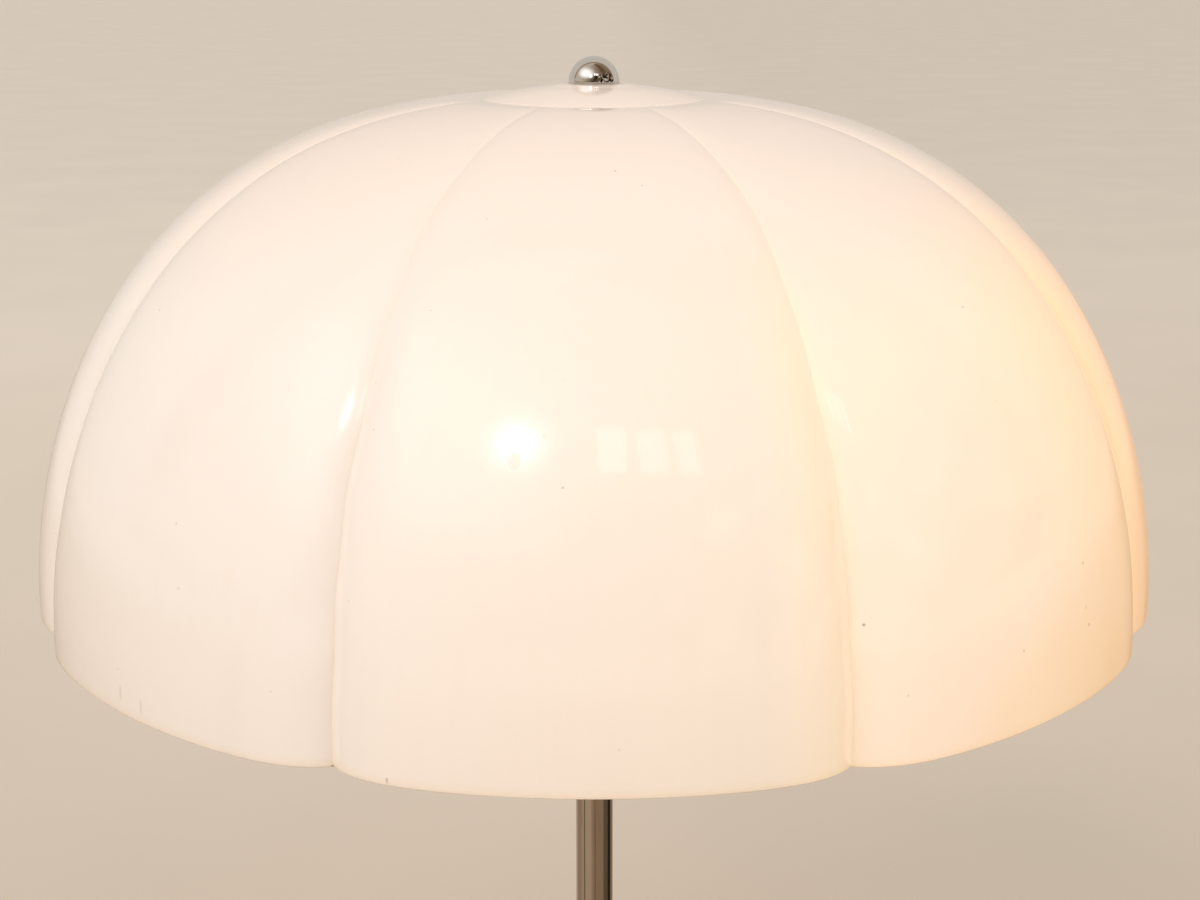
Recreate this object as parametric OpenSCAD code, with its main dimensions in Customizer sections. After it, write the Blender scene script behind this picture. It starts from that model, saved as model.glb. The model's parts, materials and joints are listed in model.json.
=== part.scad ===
// Table lamp with a lobed dome shade on a plated stem and a round weighted base.
// +Z is up along the stem, z = 0 is the surface that the lamp stands on, and one lobe faces -Y.
// All sizes are in millimetres.

/* [Shade] */
// Width of the shade across two opposite lobes
shade_d = 560; // [520:5:600]
// Thickness of the acrylic
shade_wall = 3; // [2.5:0.25:3.5]
// Number of lobes
lobe_count = 8; // [6:2:12]
// Depth of the seams between the lobes at the rim
seam_depth = 10; // [6:0.5:14]
// Depth of the seams where they meet the hub
seam_top_depth = 0.5; // [0.2:0.1:1.5]
// Sharpness of the seams, where higher is narrower
seam_sharpness = 8; // [5:0.5:11]
// How fast the seams fade towards the hub
seam_fade = 3; // [1.5:0.25:4]
// Height of the upright edge at the rim
skirt_h = 4.4; // [2:0.2:10]
// Height of the dome above its upright edge
dome_h = 242; // [225:0.5:265]
// Fullness of the dome's sides
dome_fullness = 2.9; // [2.5:0.1:3.2]
// Fullness of the dome's crown
dome_crown = 1.94; // [1.8:0.02:2.2]
// Radius of the round hub on top of the shade
hub_r = 54; // [46:1:64]
// Rise of the hub from its edge to its top
hub_rise = 7; // [5:0.5:9]
// Depth of the crease between the hub and the lobes
hub_crease = 0.7; // [0.4:0.1:1.2]
// Radius of the hole in the hub
hub_hole_r = 8; // [7.5:0.25:9.5]

/* [Finial] */
// Width of the half-ball finial
finial_d = 25; // [23:0.2:30]
// Height of the finial's upright edge below its half ball
finial_edge_h = 0.2; // [0.2:0.1:1.5]
// Thickness of the washer under the finial
finial_washer_t = 0.5; // [0.4:0.1:1.5]
// Amount that the washer shows all round the finial
finial_washer_lip = 0.4; // [0.2:0.1:1.5]
// Radius of the threaded insert in the finial
insert_r = 6.5; // [6:0.1:7.5]
// Length of the threaded insert
insert_len = 8; // [6:0.5:8.5]

/* [Base] */
// Width of the base
base_d = 280; // [240:5:320]
// Height of the base shell above the felt
base_h = 30; // [28:1:38]
// Radius of the rounded shoulder of the base shell
shoulder_r = 8; // [5:0.5:10]
// Height of the upright side of the base shell
base_side_h = 14; // [14:0.5:16]
// Thickness of the base shell's metal
shell_t = 1.2; // [0.8:0.1:1.6]
// Width of the turned-in lip at the bottom of the base shell
lip_w = 8; // [4:0.5:12]
// Thickness of the felt
felt_t = 2; // [1:0.25:3]
// Gap between the felt's edge and the edge of the base
felt_inset = 2; // [1:0.5:5]
// Gap between the cast weight and the lip of the base shell
weight_gap = 10; // [4:0.5:20]
// Thickness of the cast weight
weight_t = 13; // [12.5:0.5:15]
// Radius of the boss in the middle of the weight
boss_r = 24; // [21:0.5:30]
// Radius of the nut pocket under the weight
pocket_r = 16; // [14:0.5:18]
// Depth of the nut pocket
pocket_h = 16; // [15:0.5:18]

/* [Lead inlet] */
// Radius of the inlet's bore, for the mains lead
inlet_bore_r = 3.6; // [3:0.1:4]
// Radius of the inlet's body, in the hole of the base shell
inlet_r = 5; // [4.8:0.1:5.4]
// Radius of the inlet's outer flange
inlet_flange_r = 6.6; // [6.2:0.1:7]
// Thickness of the inlet's outer flange
inlet_flange_t = 1.8; // [1:0.1:2.5]
// Length of the inlet inside the base shell
inlet_tail = 6; // [4:0.5:7]
// Height of the inlet's axis above the underside of the base shell
inlet_z = 7.6; // [7.2:0.1:7.8]

/* [Stem] */
// Width of the stem tube
tube_d = 20; // [17:0.5:22]
// Thickness of the stem tube's wall
tube_wall = 1.2; // [0.8:0.1:1.8]
// Length of the stem tube
tube_len = 476; // [380:2:520]
// Width of the threaded rods
rod_d = 9.6; // [9:0.1:10.2]
// Width of the bore in the threaded rods
rod_bore = 6.4; // [6:0.1:6.8]
// Height of the collar on the base
collar_h = 14; // [11:0.5:20]
// Height of the collar's floor under the tube
collar_floor = 5; // [3:0.5:7]
// Radius of the collar's foot
collar_foot_r = 20; // [17:0.5:20.5]
// Length that the stem cap and the tube overlap
cap_grip = 6; // [4:0.5:10]
// Thickness of the stem cap's floor, over the tube
cap_floor = 4; // [2.5:0.5:6]
// Thickness of the collar's and the cap's wall round the tube
cap_wall = 2.5; // [1.5:0.25:3.5]

/* [Nuts] */
// Width of the small hex nuts across their flats
nut_af = 14; // [13:0.25:14.5]
// Thickness of the small hex nuts
nut_t = 4; // [3.5:0.25:4.5]
// Width of the base nut across its flats
base_nut_af = 19; // [17:0.5:22]
// Thickness of the base nut
base_nut_t = 7.5; // [6:0.5:8]
// Radius of the base lock washer
lock_washer_r = 8.6; // [7.5:0.1:10]
// Thickness of the base lock washer
lock_washer_t = 2; // [1.5:0.25:2.5]

/* [Cluster box] */
// Width of the round cluster box
cluster_d = 46; // [44:0.5:52]
// Height of the cluster box
cluster_h = 26; // [25:0.5:32]
// Thickness of the cluster box's wall
cluster_wall = 1.6; // [1.2:0.1:2]
// Thickness of the cover
cover_t = 1.6; // [1.2:0.1:2.4]
// Depth that the cover's rim reaches into the box
cover_rim_h = 4.5; // [3:0.25:5]
// Radius of the wire connectors
connector_r = 3.8; // [3.2:0.1:4]
// Length of the wire connectors
connector_len = 14; // [11:0.5:14]
// Distance of the wire connectors from the lamp's axis
connector_y = 14; // [13.5:0.1:14.5]

/* [Arms and sockets] */
// Distance from the lamp's axis to the inner end of each arm
arm_in = 14; // [13.5:0.25:14.5]
// Length of each arm
arm_len = 26; // [26:0.5:28]
// Length of the arm's thick part, between the cluster box and the socket
arm_neck = 7; // [7:0.5:8]
// Radius of the arm's thick part
arm_neck_r = 7; // [6:0.25:8]
// Width of the socket shells
socket_d = 33.4; // [32.8:0.1:35]
// Length of each socket from the arm's thick part to the mouth
socket_len = 57; // [56:0.5:60]
// Length of the socket cap
cap_len = 20; // [19:0.5:22]
// Length that the socket shell reaches into the cap
shell_grip = 4.5; // [3:0.5:6]
// Thickness of the socket's sheet metal
sheet_t = 0.8; // [0.6:0.05:1]
// Thickness of the insulating liner
liner_t = 0.8; // [0.6:0.05:0.9]
// Length of the socket core
core_len = 13; // [12:0.25:14]
// Distance from the socket's axis to the flats with the terminal screws
terminal_y = 11; // [10.6:0.1:11.2]
// Radius of the terminal screw heads
terminal_head_r = 3; // [2.4:0.1:3.2]
// Thickness of the terminal screw heads
terminal_head_t = 1.6; // [1.2:0.1:1.8]
// Distance from the core's end to the terminal screws
terminal_in = 5.5; // [5:0.1:6]
// Radius of the insulated inner leads
lead_r = 1.1; // [0.8:0.05:1.15]

/* [Switches] */
// Radius of the switch shafts
shaft_r = 2; // [1.6:0.1:2.4]
// Distance from the core's end to the switch shaft
shaft_in = 6.5; // [6:0.1:7]
// Radius of the switch knobs
knob_r = 6.5; // [5:0.25:8]
// Length of the switch knobs
knob_len = 14; // [10:0.5:18]
// Gap between the socket and its knob
knob_gap = 1.5; // [1:0.1:3]

/* [Bulbs] */
// Radius of the bulb's screw cap
bulb_cap_r = 13.15; // [13.05:0.01:13.15]
// Length of the bulb's screw cap
bulb_cap_len = 19; // [18:0.25:20]
// Width of the bulb's globe
bulb_d = 60; // [55:0.5:66]
// Length of the bulb from its tip to the end of the globe
bulb_len = 108; // [102:1:116]
// Thickness of the bulb's glass
bulb_glass_t = 0.8; // [0.5:0.05:1]

/* [Shade carrier] */
// Length of the sleeve between the cluster box and the shade rest
sleeve_len = 109.4; // [80:0.2:130]
// Width of the sleeve
sleeve_d = 13; // [12.5:0.1:15]
// Width of the shade rest
rest_d = 76; // [66:1:84]
// Thickness of the shade rest
rest_t = 1.5; // [1:0.1:2]
// Width of the soft washer's ring
washer_w = 9; // [6:0.5:12]
// Radius of the bushing's flange under the hub
bushing_flange_r = 12.5; // [11:0.25:14]
// Thickness of the bushing's flange
bushing_flange_t = 1.5; // [1.2:0.1:2]

/* [Clearances] */
// Radial gap of screwed and running fits
fit_gap = 0.05; // [0.03:0.01:0.06]
// Gap between pieces that only lie next to each other
loose_gap = 0.3; // [0.2:0.05:0.4]

/* [Hidden] */
$fn = 72;
eps = 0.01;
LEFT = -1;
RIGHT = 1;

// Finishes
chrome = [0.78, 0.78, 0.80];
brass = [0.80, 0.66, 0.36];
iron = [0.24, 0.24, 0.25];
black_plastic = [0.10, 0.10, 0.10];
opal = [0.97, 0.93, 0.86];

// Heights of the stack that the threaded rod clamps, from the surface up
base_top_z = felt_t + base_h;
pocket_z = felt_t + pocket_h;
tube_z = base_top_z + collar_floor;
tube_top_z = tube_z + tube_len;
cluster_z = tube_top_z + cap_floor;
arm_z = cluster_z + cluster_h / 2;
cluster_top_z = cluster_z + cluster_h;
cover_top_z = cluster_top_z + cover_t;
rest_z = cover_top_z + sleeve_len;
rest_top_z = rest_z + rest_t;
rod_nut_top_z = rest_top_z + nut_t;
hub_under_z = rod_nut_top_z + bushing_flange_t;
hub_top_z = hub_under_z + shade_wall;
washer_top_z = hub_top_z + finial_washer_t;
rod_r = rod_d / 2;
rod_end = 2;
weight_d = base_d - 2 * (lip_w + weight_gap);
base_land_r = boss_r + 1;

// Lead inlet and its channel in the weight
inlet_barb = 0.6;
lead_channel_w = 2 * (inlet_r + inlet_barb + loose_gap);
lead_channel_z = felt_t + inlet_z + inlet_r + inlet_barb + loose_gap;

// Shade, from the rim up
valley_r = shade_d / 2 - seam_depth;
hub_angle = asin(pow(hub_r / valley_r, dome_fullness / 2));
hub_edge_h = dome_z(hub_angle) - hub_crease;
shade_h = hub_edge_h + hub_rise;
rim_z = hub_top_z - shade_h;
hub_ball_r = (hub_r * hub_r + hub_rise * hub_rise) / (2 * hub_rise);
hub_land_r = 14.5;
hub_overlap = 3;
dome_rings = 18;
skirt_rings = 1;
half_lobe_steps = 7;
column_spread = 1.6;
lobe_columns = 2 * half_lobe_steps;
columns = lobe_count * lobe_columns;

// Sockets, as distances from the lamp's axis along each arm
arm_out = arm_in + arm_len;
neck_from = cluster_d / 2 + fit_gap;
cap_from = neck_from + arm_neck;
cap_to = cap_from + cap_len;
mouth = cap_from + socket_len;
core_gap = 0.5;
core_from = cap_to + core_gap;
core_to = core_from + core_len;
socket_r = socket_d / 2;
liner_r = socket_r - sheet_t - fit_gap;
core_r = liner_r - liner_t - fit_gap;
screw_shell_r = bulb_cap_r + 2 * fit_gap;
screw_shell_t = 0.6;
mouth_depth = 3;
screw_shell_to = mouth - mouth_depth;
thread_pitch = 3.629;
thread_depth = 0.45;
shaft_x = core_from + shaft_in;
terminal_x = core_from + terminal_in;
cap_neck_r = 8.5;
cap_neck_len = 4;
terminal_shank_r = 1.5;
shaft_seat = 4;
shaft_hole_r = shaft_r + 4 * loose_gap;
knob_seat = 8;

// Bulbs, as distances from the tip
contact_room = 2.6;
bulb_tip_x = core_to + contact_room;
tip_r = 3;
tip_t = 1.6;
insulator_t = 4.4;
bulb_cap_from = tip_t + insulator_t;
bulb_cap_to = bulb_cap_from + bulb_cap_len;
globe_x = bulb_len - bulb_d / 2;
bulb_cap_t = 0.75;
neck_r = bulb_cap_r - bulb_cap_t;
glass_foot_r = neck_r - fit_gap;
glass_foot_h = 3;

// Where the bulb's neck runs into its globe, and the bow that makes them meet smoothly
waist_angle = 36.87;
waist_x = globe_x - sin(waist_angle) * bulb_d / 2;
waist_r = cos(waist_angle) * bulb_d / 2;
neck_bow = tan(waist_angle) * (waist_x - bulb_cap_to) / (waist_r - glass_foot_r) - 2;
neck_steps = 10;
globe_steps = 16;

// Height and radius of the dome's valley line at an angle from the crown
function dome_r(a) = valley_r * pow(sin(a), 2 / dome_fullness);
function dome_z(a) = skirt_h + dome_h * pow(max(cos(a), 0), 2 / dome_crown);

// Outward direction of the dome's outline at an angle from the crown
function dome_slope_r(a) = dome_fullness / valley_r * pow(dome_r(a) / valley_r, dome_fullness - 1);
function dome_slope_z(a) = dome_crown / dome_h * pow(max((dome_z(a) - skirt_h) / dome_h, 0), dome_crown - 1);
function dome_normal(a) =
    let (v = [dome_slope_r(a), dome_slope_z(a)])
    v / norm(v);

// Rings of the outline from the hub down to the rim: radius, height, and the outward direction
function ring_angle(i) = hub_angle + (90 - hub_angle) * i / dome_rings;
function ring(i) =
    i <= dome_rings
    ? concat([dome_r(ring_angle(i)), dome_z(ring_angle(i))], dome_normal(ring_angle(i)))
    : [valley_r, skirt_h * (1 - (i - dome_rings) / skirt_rings), 1, 0];

// Place of a column across its lobe, from -1 to 1 with the seams at both ends, closer at the seams
function spread(s) = sign(s) * (1 - pow(1 - abs(s), column_spread));
function across(c) = spread((c % lobe_columns) / half_lobe_steps - 1);
function azimuth(c) = (floor(c / lobe_columns) + across(c) / 2) * 360 / lobe_count;
function lobe_swell(c) = 1 - pow(abs(across(c)), seam_sharpness);
function seam_at(r) = seam_top_depth + (seam_depth - seam_top_depth) * pow(r / valley_r, seam_fade);

function shade_point(i, c, inward) =
    let (g = ring(i))
    let (out = seam_at(g[0]) * lobe_swell(c) - inward)
    let (r = g[0] + out * g[2])
    [r * sin(azimuth(c)), -r * cos(azimuth(c)), g[1] + out * g[3]];

// Hex nut with a clear bore, standing on z = 0
module hex_nut(af, t, bore_r) {
    difference() {
        cylinder(r = af / 2 / cos(30), h = t, $fn = 6);
        translate([0, 0, -eps]) cylinder(r = bore_r, h = t + 2 * eps);
    }
}

// Straight tube standing on z = 0
module pipe(r_out, r_in, h) {
    difference() {
        cylinder(r = r_out, h = h);
        translate([0, 0, -eps]) cylinder(r = r_in, h = h + 2 * eps);
    }
}

// Lays what stands on z = 0 along an arm, at a distance from the lamp's axis
module on_arm(side, distance) {
    translate([side * distance, 0, arm_z]) rotate([0, side * 90, 0]) children();
}

// Half of the outline of the base shell, grown inwards by an inset
module base_outline(inset) {
    r = shoulder_r - inset;
    side_z = felt_t + base_side_h;
    middle = base_d / 2 - shoulder_r;
    arc = [for (i = [0:8]) [middle + r * cos(i * 11.25), side_z + r * sin(i * 11.25)]];
    top = [[base_land_r, base_top_z - inset], [0, base_top_z - inset]];
    polygon(concat([[0, felt_t + inset], [base_d / 2 - inset, felt_t + inset]], arc, top));
}

module felt_pad() {
    color([0.16, 0.19, 0.16]) cylinder(r = base_d / 2 - felt_inset, h = felt_t, $fn = 96);
}

module base_weight() {
    boss_top_z = base_top_z - shell_t;
    edge = 2;
    color(iron) difference() {
        union() {
            translate([0, 0, felt_t]) cylinder(d = weight_d, h = weight_t - edge);
            translate([0, 0, felt_t + weight_t - edge])
                cylinder(d1 = weight_d, d2 = weight_d - 2 * edge, h = edge);
            translate([0, 0, felt_t + eps]) cylinder(r = boss_r, h = boss_top_z - felt_t - eps);
        }
        translate([0, 0, -eps]) cylinder(r = rod_r + loose_gap, h = base_top_z);
        translate([0, 0, -eps]) cylinder(r = pocket_r, h = pocket_z + eps);
        translate([-lead_channel_w / 2, 0, -eps]) cube([lead_channel_w, base_d, lead_channel_z + eps]);
    }
}

module base_shell() {
    hole_r = rod_r + loose_gap;
    color(chrome) difference() {
        rotate_extrude($fn = 96) base_outline(0);
        rotate_extrude($fn = 96) base_outline(shell_t);
        cylinder(r = base_d / 2 - lip_w, h = felt_t + 2 * shell_t);
        translate([0, 0, felt_t]) cylinder(r = hole_r, h = base_h + eps);
        translate([0, base_d / 2 - lip_w, felt_t + inlet_z]) rotate([-90, 0, 0])
            cylinder(r = inlet_r + fit_gap, h = 2 * lip_w);
    }
}

module inlet_bushing() {
    inner_y = base_d / 2 - shell_t - inlet_tail;
    outer_y = base_d / 2 + inlet_flange_t;
    barb_t = 1.5;
    color(black_plastic) translate([0, 0, felt_t + inlet_z]) rotate([-90, 0, 0]) difference() {
        union() {
            translate([0, 0, inner_y]) cylinder(r = inlet_r, h = outer_y - inner_y - eps);
            translate([0, 0, base_d / 2 + fit_gap])
                cylinder(r = inlet_flange_r, h = inlet_flange_t - fit_gap);
            translate([0, 0, base_d / 2 - shell_t - loose_gap - barb_t])
                cylinder(r1 = inlet_r, r2 = inlet_r + inlet_barb, h = barb_t);
        }
        translate([0, 0, inner_y - eps]) cylinder(r = inlet_bore_r, h = outer_y - inner_y + 2 * eps);
    }
}

module base_lock_washer() {
    slit_w = 1.4;
    color(chrome) translate([0, 0, pocket_z - lock_washer_t]) difference() {
        pipe(lock_washer_r, rod_r + fit_gap, lock_washer_t);
        translate([rod_r, 0, lock_washer_t / 2]) rotate([30, 0, 0])
            cube([2 * lock_washer_r, slit_w, 4 * lock_washer_t], center = true);
    }
}

module base_nut() {
    color(brass) translate([0, 0, pocket_z - lock_washer_t - base_nut_t])
        hex_nut(base_nut_af, base_nut_t, rod_r + fit_gap);
}

module stem_collar() {
    grip_r = tube_d / 2 + fit_gap;
    top_r = tube_d / 2 + cap_wall;
    edge = 1.5;
    cove = [for (i = [0:6]) let (a = i * 15) [
        collar_foot_r - (collar_foot_r - top_r) * sin(a),
        base_top_z + edge + (collar_h - 2 * edge) * (1 - cos(a))]];
    color(chrome) difference() {
        rotate_extrude() polygon(concat(
            [[0, base_top_z], [collar_foot_r, base_top_z]], cove,
            [[top_r, base_top_z + collar_h], [0, base_top_z + collar_h]]));
        translate([0, 0, base_top_z - eps]) cylinder(r = rod_r + loose_gap, h = collar_h);
        translate([0, 0, tube_z]) cylinder(r = grip_r, h = collar_h);
    }
}

module threaded_rod() {
    from_z = pocket_z - lock_washer_t - base_nut_t - rod_end;
    to_z = cluster_z + cluster_wall + nut_t + rod_end;
    color(brass) translate([0, 0, from_z]) pipe(rod_r, rod_bore / 2, to_z - from_z);
}

module stem_tube() {
    color(chrome) translate([0, 0, tube_z]) pipe(tube_d / 2, tube_d / 2 - tube_wall, tube_len);
}

module stem_cap() {
    top_r = tube_d / 2 + cap_wall;
    edge = 1;
    color(chrome) translate([0, 0, tube_top_z - cap_grip]) difference() {
        union() {
            cylinder(r1 = top_r - edge, r2 = top_r, h = edge);
            translate([0, 0, edge]) cylinder(r = top_r, h = cap_grip + cap_floor - edge);
        }
        translate([0, 0, -eps]) cylinder(r = tube_d / 2 + fit_gap, h = cap_grip + eps);
        cylinder(r = rod_r + loose_gap, h = cap_grip + cap_floor + eps);
    }
}

module cluster_body() {
    r = cluster_d / 2;
    edge = 1.5;
    color(chrome) difference() {
        union() {
            translate([0, 0, cluster_z]) cylinder(r1 = r - edge, r2 = r, h = edge);
            translate([0, 0, cluster_z + edge]) cylinder(r = r, h = cluster_h - edge);
        }
        translate([0, 0, cluster_z + cluster_wall]) cylinder(r = r - cluster_wall, h = cluster_h);
        translate([0, 0, cluster_z - eps]) cylinder(r = rod_r + loose_gap, h = cluster_h);
        for (side = [LEFT, RIGHT]) on_arm(side, arm_in) cylinder(r = rod_r + fit_gap, h = r);
    }
}

module cluster_cover() {
    rim_r = cluster_d / 2 - cluster_wall - fit_gap;
    rim_t = 1.4;
    edge = 0.8;
    color(chrome) difference() {
        union() {
            translate([0, 0, cluster_top_z]) cylinder(d = cluster_d, h = cover_t - edge);
            translate([0, 0, cover_top_z - edge])
                cylinder(r1 = cluster_d / 2, r2 = cluster_d / 2 - edge, h = edge);
            translate([0, 0, cluster_top_z - cover_rim_h])
                pipe(rim_r, rim_r - rim_t, cover_rim_h + eps);
        }
        translate([0, 0, cluster_top_z - eps]) cylinder(r = rod_r + loose_gap, h = cover_t + 2 * eps);
    }
}

module cluster_nuts() {
    wall_r = cluster_d / 2 - cluster_wall;
    corner = nut_af / 2 / cos(30);
    arm_nut_to = sqrt(wall_r * wall_r - corner * corner) - fit_gap;
    color(brass) {
        translate([0, 0, cluster_z + cluster_wall]) hex_nut(nut_af, nut_t, rod_r + fit_gap);
        translate([0, 0, cluster_top_z - nut_t]) hex_nut(nut_af, nut_t, rod_r + fit_gap);
        for (side = [LEFT, RIGHT])
            on_arm(side, arm_nut_to - nut_t) hex_nut(nut_af, nut_t, rod_r + fit_gap);
    }
}

module wire_connectors() {
    tip_share = 0.6;
    color([0.85, 0.70, 0.35]) for (s = [-1, 1])
        translate([-connector_len / 2, s * connector_y, arm_z]) rotate([0, 90, 0]) {
            cylinder(r = connector_r * tip_share, h = connector_len);
            translate([0, 0, connector_len / 4]) cylinder(r = connector_r, h = connector_len / 2);
        }
}

module arm(side) {
    color(chrome) on_arm(side, 0) difference() {
        union() {
            translate([0, 0, arm_in]) cylinder(r = rod_r, h = arm_len);
            translate([0, 0, neck_from]) cylinder(r = arm_neck_r, h = arm_neck);
        }
        translate([0, 0, arm_in - eps]) cylinder(r = rod_bore / 2, h = arm_len + 2 * eps);
    }
}

module socket_cap(side) {
    r = socket_r + fit_gap + sheet_t;
    bell_share = 0.7;
    bell_to = cap_len * bell_share;
    bell = [for (i = [0:6]) let (a = i * 15)
        [cap_neck_r + (r - cap_neck_r) * sin(a), cap_neck_len + (bell_to - cap_neck_len) * (1 - cos(a))]];
    hollow = [for (p = bell) [p[0] - sheet_t, p[1] + sheet_t]];
    color(brass) on_arm(side, cap_from) difference() {
        rotate_extrude() polygon(concat([[0, 0], [cap_neck_r, 0]], bell, [[r, cap_len], [0, cap_len]]));
        rotate_extrude() polygon(concat(
            [[0, cap_neck_len + sheet_t]], hollow, [[r - sheet_t, cap_len + eps], [0, cap_len + eps]]));
        translate([0, 0, -eps]) cylinder(r = rod_r + fit_gap, h = cap_len);
    }
}

module socket_shell(side) {
    from = cap_to - shell_grip;
    bead = 0.7;
    color(brass) on_arm(side, 0) difference() {
        union() {
            translate([0, 0, from]) cylinder(r = socket_r, h = mouth - from);
            translate([0, 0, mouth - 3 * bead]) rotate_extrude() translate([socket_r, 0])
                circle(r = bead, $fn = 24);
        }
        translate([0, 0, from - eps]) cylinder(r = socket_r - sheet_t, h = mouth - from + 2 * eps);
        translate([0, 0, shaft_x]) rotate([0, side * 90, 0])
            cylinder(r = shaft_hole_r, h = 2 * socket_r);
    }
}

module liner(side) {
    to = mouth - 0.5;
    color([0.35, 0.33, 0.30]) on_arm(side, 0) difference() {
        translate([0, 0, core_from]) pipe(liner_r, liner_r - liner_t, to - core_from);
        translate([0, 0, shaft_x]) rotate([0, side * 90, 0])
            cylinder(r = shaft_hole_r, h = 2 * socket_r);
    }
}

module socket_core(side) {
    flat_len = terminal_in + terminal_head_r + 2;
    color([0.20, 0.14, 0.10]) on_arm(side, 0) difference() {
        translate([0, 0, core_from]) cylinder(r = core_r, h = core_len);
        for (s = [-1, 1]) {
            translate([-core_r, s == 1 ? terminal_y : -2 * core_r - terminal_y, core_from - eps])
                cube([2 * core_r, 2 * core_r, flat_len]);
            translate([0, 0, terminal_x]) rotate([s * -90, 0, 0])
                cylinder(r = terminal_shank_r + fit_gap, h = core_r);
        }
        translate([0, 0, shaft_x]) rotate([0, side * 90, 0])
            translate([0, 0, shaft_seat]) cylinder(r = shaft_r + fit_gap, h = 2 * core_r);
    }
}

module screw_shell(side) {
    shell_len = screw_shell_to - core_to;
    r = screw_shell_r + screw_shell_t;
    turns = floor((shell_len - 4) / thread_pitch);
    color(brass) on_arm(side, core_to) difference() {
        cylinder(r = r, h = shell_len);
        translate([0, 0, -eps]) cylinder(r = screw_shell_r, h = shell_len + 2 * eps);
        for (i = [0:turns]) translate([0, 0, 2 + i * thread_pitch]) rotate_extrude()
            translate([r + thread_depth / 4, 0]) circle(r = thread_depth, $fn = 24);
    }
}

module centre_contact(side) {
    reach = bulb_tip_x - core_to - fit_gap;
    leaf_t = 0.5;
    leaf_w = 5;
    leaf_len = 9;
    color(brass) on_arm(side, core_to) {
        translate([-leaf_w / 2, -leaf_len, 0]) cube([leaf_w, 4, leaf_t]);
        translate([-leaf_w / 2, -leaf_len + 4 - leaf_t, 0]) cube([leaf_w, leaf_t, reach - leaf_t]);
        translate([-leaf_w / 2, -leaf_len + 4 - leaf_t, reach - leaf_t]) cube([leaf_w, leaf_len, leaf_t]);
    }
}

module terminal_screws(side) {
    shank = 6;
    slot_w = 0.8;
    color(brass) on_arm(side, terminal_x) for (s = [-1, 1]) rotate([s * -90, 0, 0]) difference() {
        union() {
            translate([0, 0, terminal_y]) cylinder(r = terminal_head_r, h = terminal_head_t);
            translate([0, 0, terminal_y - shank]) cylinder(r = terminal_shank_r, h = shank + eps);
        }
        translate([-terminal_head_r, -slot_w / 2, terminal_y + terminal_head_t / 2])
            cube([2 * terminal_head_r, slot_w, terminal_head_t]);
    }
}

// One insulated lead in the plane of the arms, as a tube of 8 sides through its route's points
module lead(route) {
    sides = 8;
    n = len(route);
    function way(i) = route[min(i + 1, n - 1)] - route[max(i - 1, 0)];
    function side_way(i) = [-way(i)[1], way(i)[0]] / norm(way(i));
    points = [for (i = [0:n - 1], k = [0:sides - 1])
        let (out = lead_r * cos(k * 360 / sides), up = lead_r * sin(k * 360 / sides))
        [route[i][0] + out * side_way(i)[0], route[i][1] + out * side_way(i)[1], up]];
    walls = [for (i = [0:n - 2], k = [0:sides - 1], half = [0, 1])
        let (a = i * sides + k, b = i * sides + (k + 1) % sides)
        half == 0 ? [a, b, b + sides] : [a, b + sides, a + sides]];
    first = [for (k = [1:sides - 2]) [0, k + 1, k]];
    last = [for (k = [1:sides - 2]) [0, k, k + 1] + (n - 1) * sides * [1, 1, 1]];
    polyhedron(points = points, faces = concat(walls, first, last));
}

module inner_leads(side) {
    start_x = connector_len / 2;
    mid = lead_r + 0.25;
    end_y = terminal_y + lead_r + fit_gap;
    half_route = [
        [start_x, connector_y],
        [start_x + 0.8, connector_y],
        [start_x + 1.9, connector_y - 0.8],
        [start_x + 2.8, connector_y - 3.6],
        [arm_in - 3, mid + 4.6],
        [arm_in - 1.7, mid + 1.6],
        [arm_in, mid + 0.3],
        [arm_in + 3, mid],
        [arm_out + 0.5, mid],
        [arm_out + 3, mid + 1.4],
        [core_from - 4, end_y - 4.2],
        [core_from - 2.2, end_y - 1.1],
        [core_from - 0.4, end_y],
        [terminal_x - terminal_head_r - loose_gap, end_y]
    ];
    color([0.12, 0.12, 0.12]) translate([0, 0, arm_z]) for (s = [-1, 1]) mirror([0, s == 1 ? 0 : 1, 0])
        mirror([side == RIGHT ? 0 : 1, 0, 0]) lead(half_route);
}

module switch_shaft(side) {
    tail = knob_seat;
    color(brass) translate([side * shaft_x, 0, arm_z - shaft_seat - fit_gap]) rotate([180, 0, 0])
        cylinder(r = shaft_r, h = socket_r + knob_gap + tail - shaft_seat);
}

module switch_knob(side) {
    ribs = 16;
    rib_r = 0.5;
    edge = 1;
    color(black_plastic) translate([side * shaft_x, 0, arm_z - socket_r - knob_gap])
        rotate([180, 0, 0]) difference() {
            union() {
                cylinder(r = knob_r, h = knob_len - edge);
                translate([0, 0, knob_len - edge]) cylinder(r1 = knob_r, r2 = knob_r - edge, h = edge);
            }
            translate([0, 0, -eps]) cylinder(r = shaft_r, h = knob_seat + fit_gap + eps);
            for (i = [0:ribs - 1]) rotate([0, 0, i * 360 / ribs])
                translate([knob_r + rib_r / 2, 0, 2 * edge]) cylinder(r = rib_r, h = knob_len, $fn = 16);
        }
}

module bulb_tip(side) {
    color([0.70, 0.70, 0.68]) on_arm(side, bulb_tip_x) {
        cylinder(r1 = tip_r - 1, r2 = tip_r, h = tip_t / 2);
        translate([0, 0, tip_t / 2]) cylinder(r = tip_r, h = tip_t / 2);
    }
}

module bulb_insulator(side) {
    color(black_plastic) on_arm(side, bulb_tip_x + tip_t)
        cylinder(r1 = tip_r + 1.5, r2 = neck_r - fit_gap, h = insulator_t);
}

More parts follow.
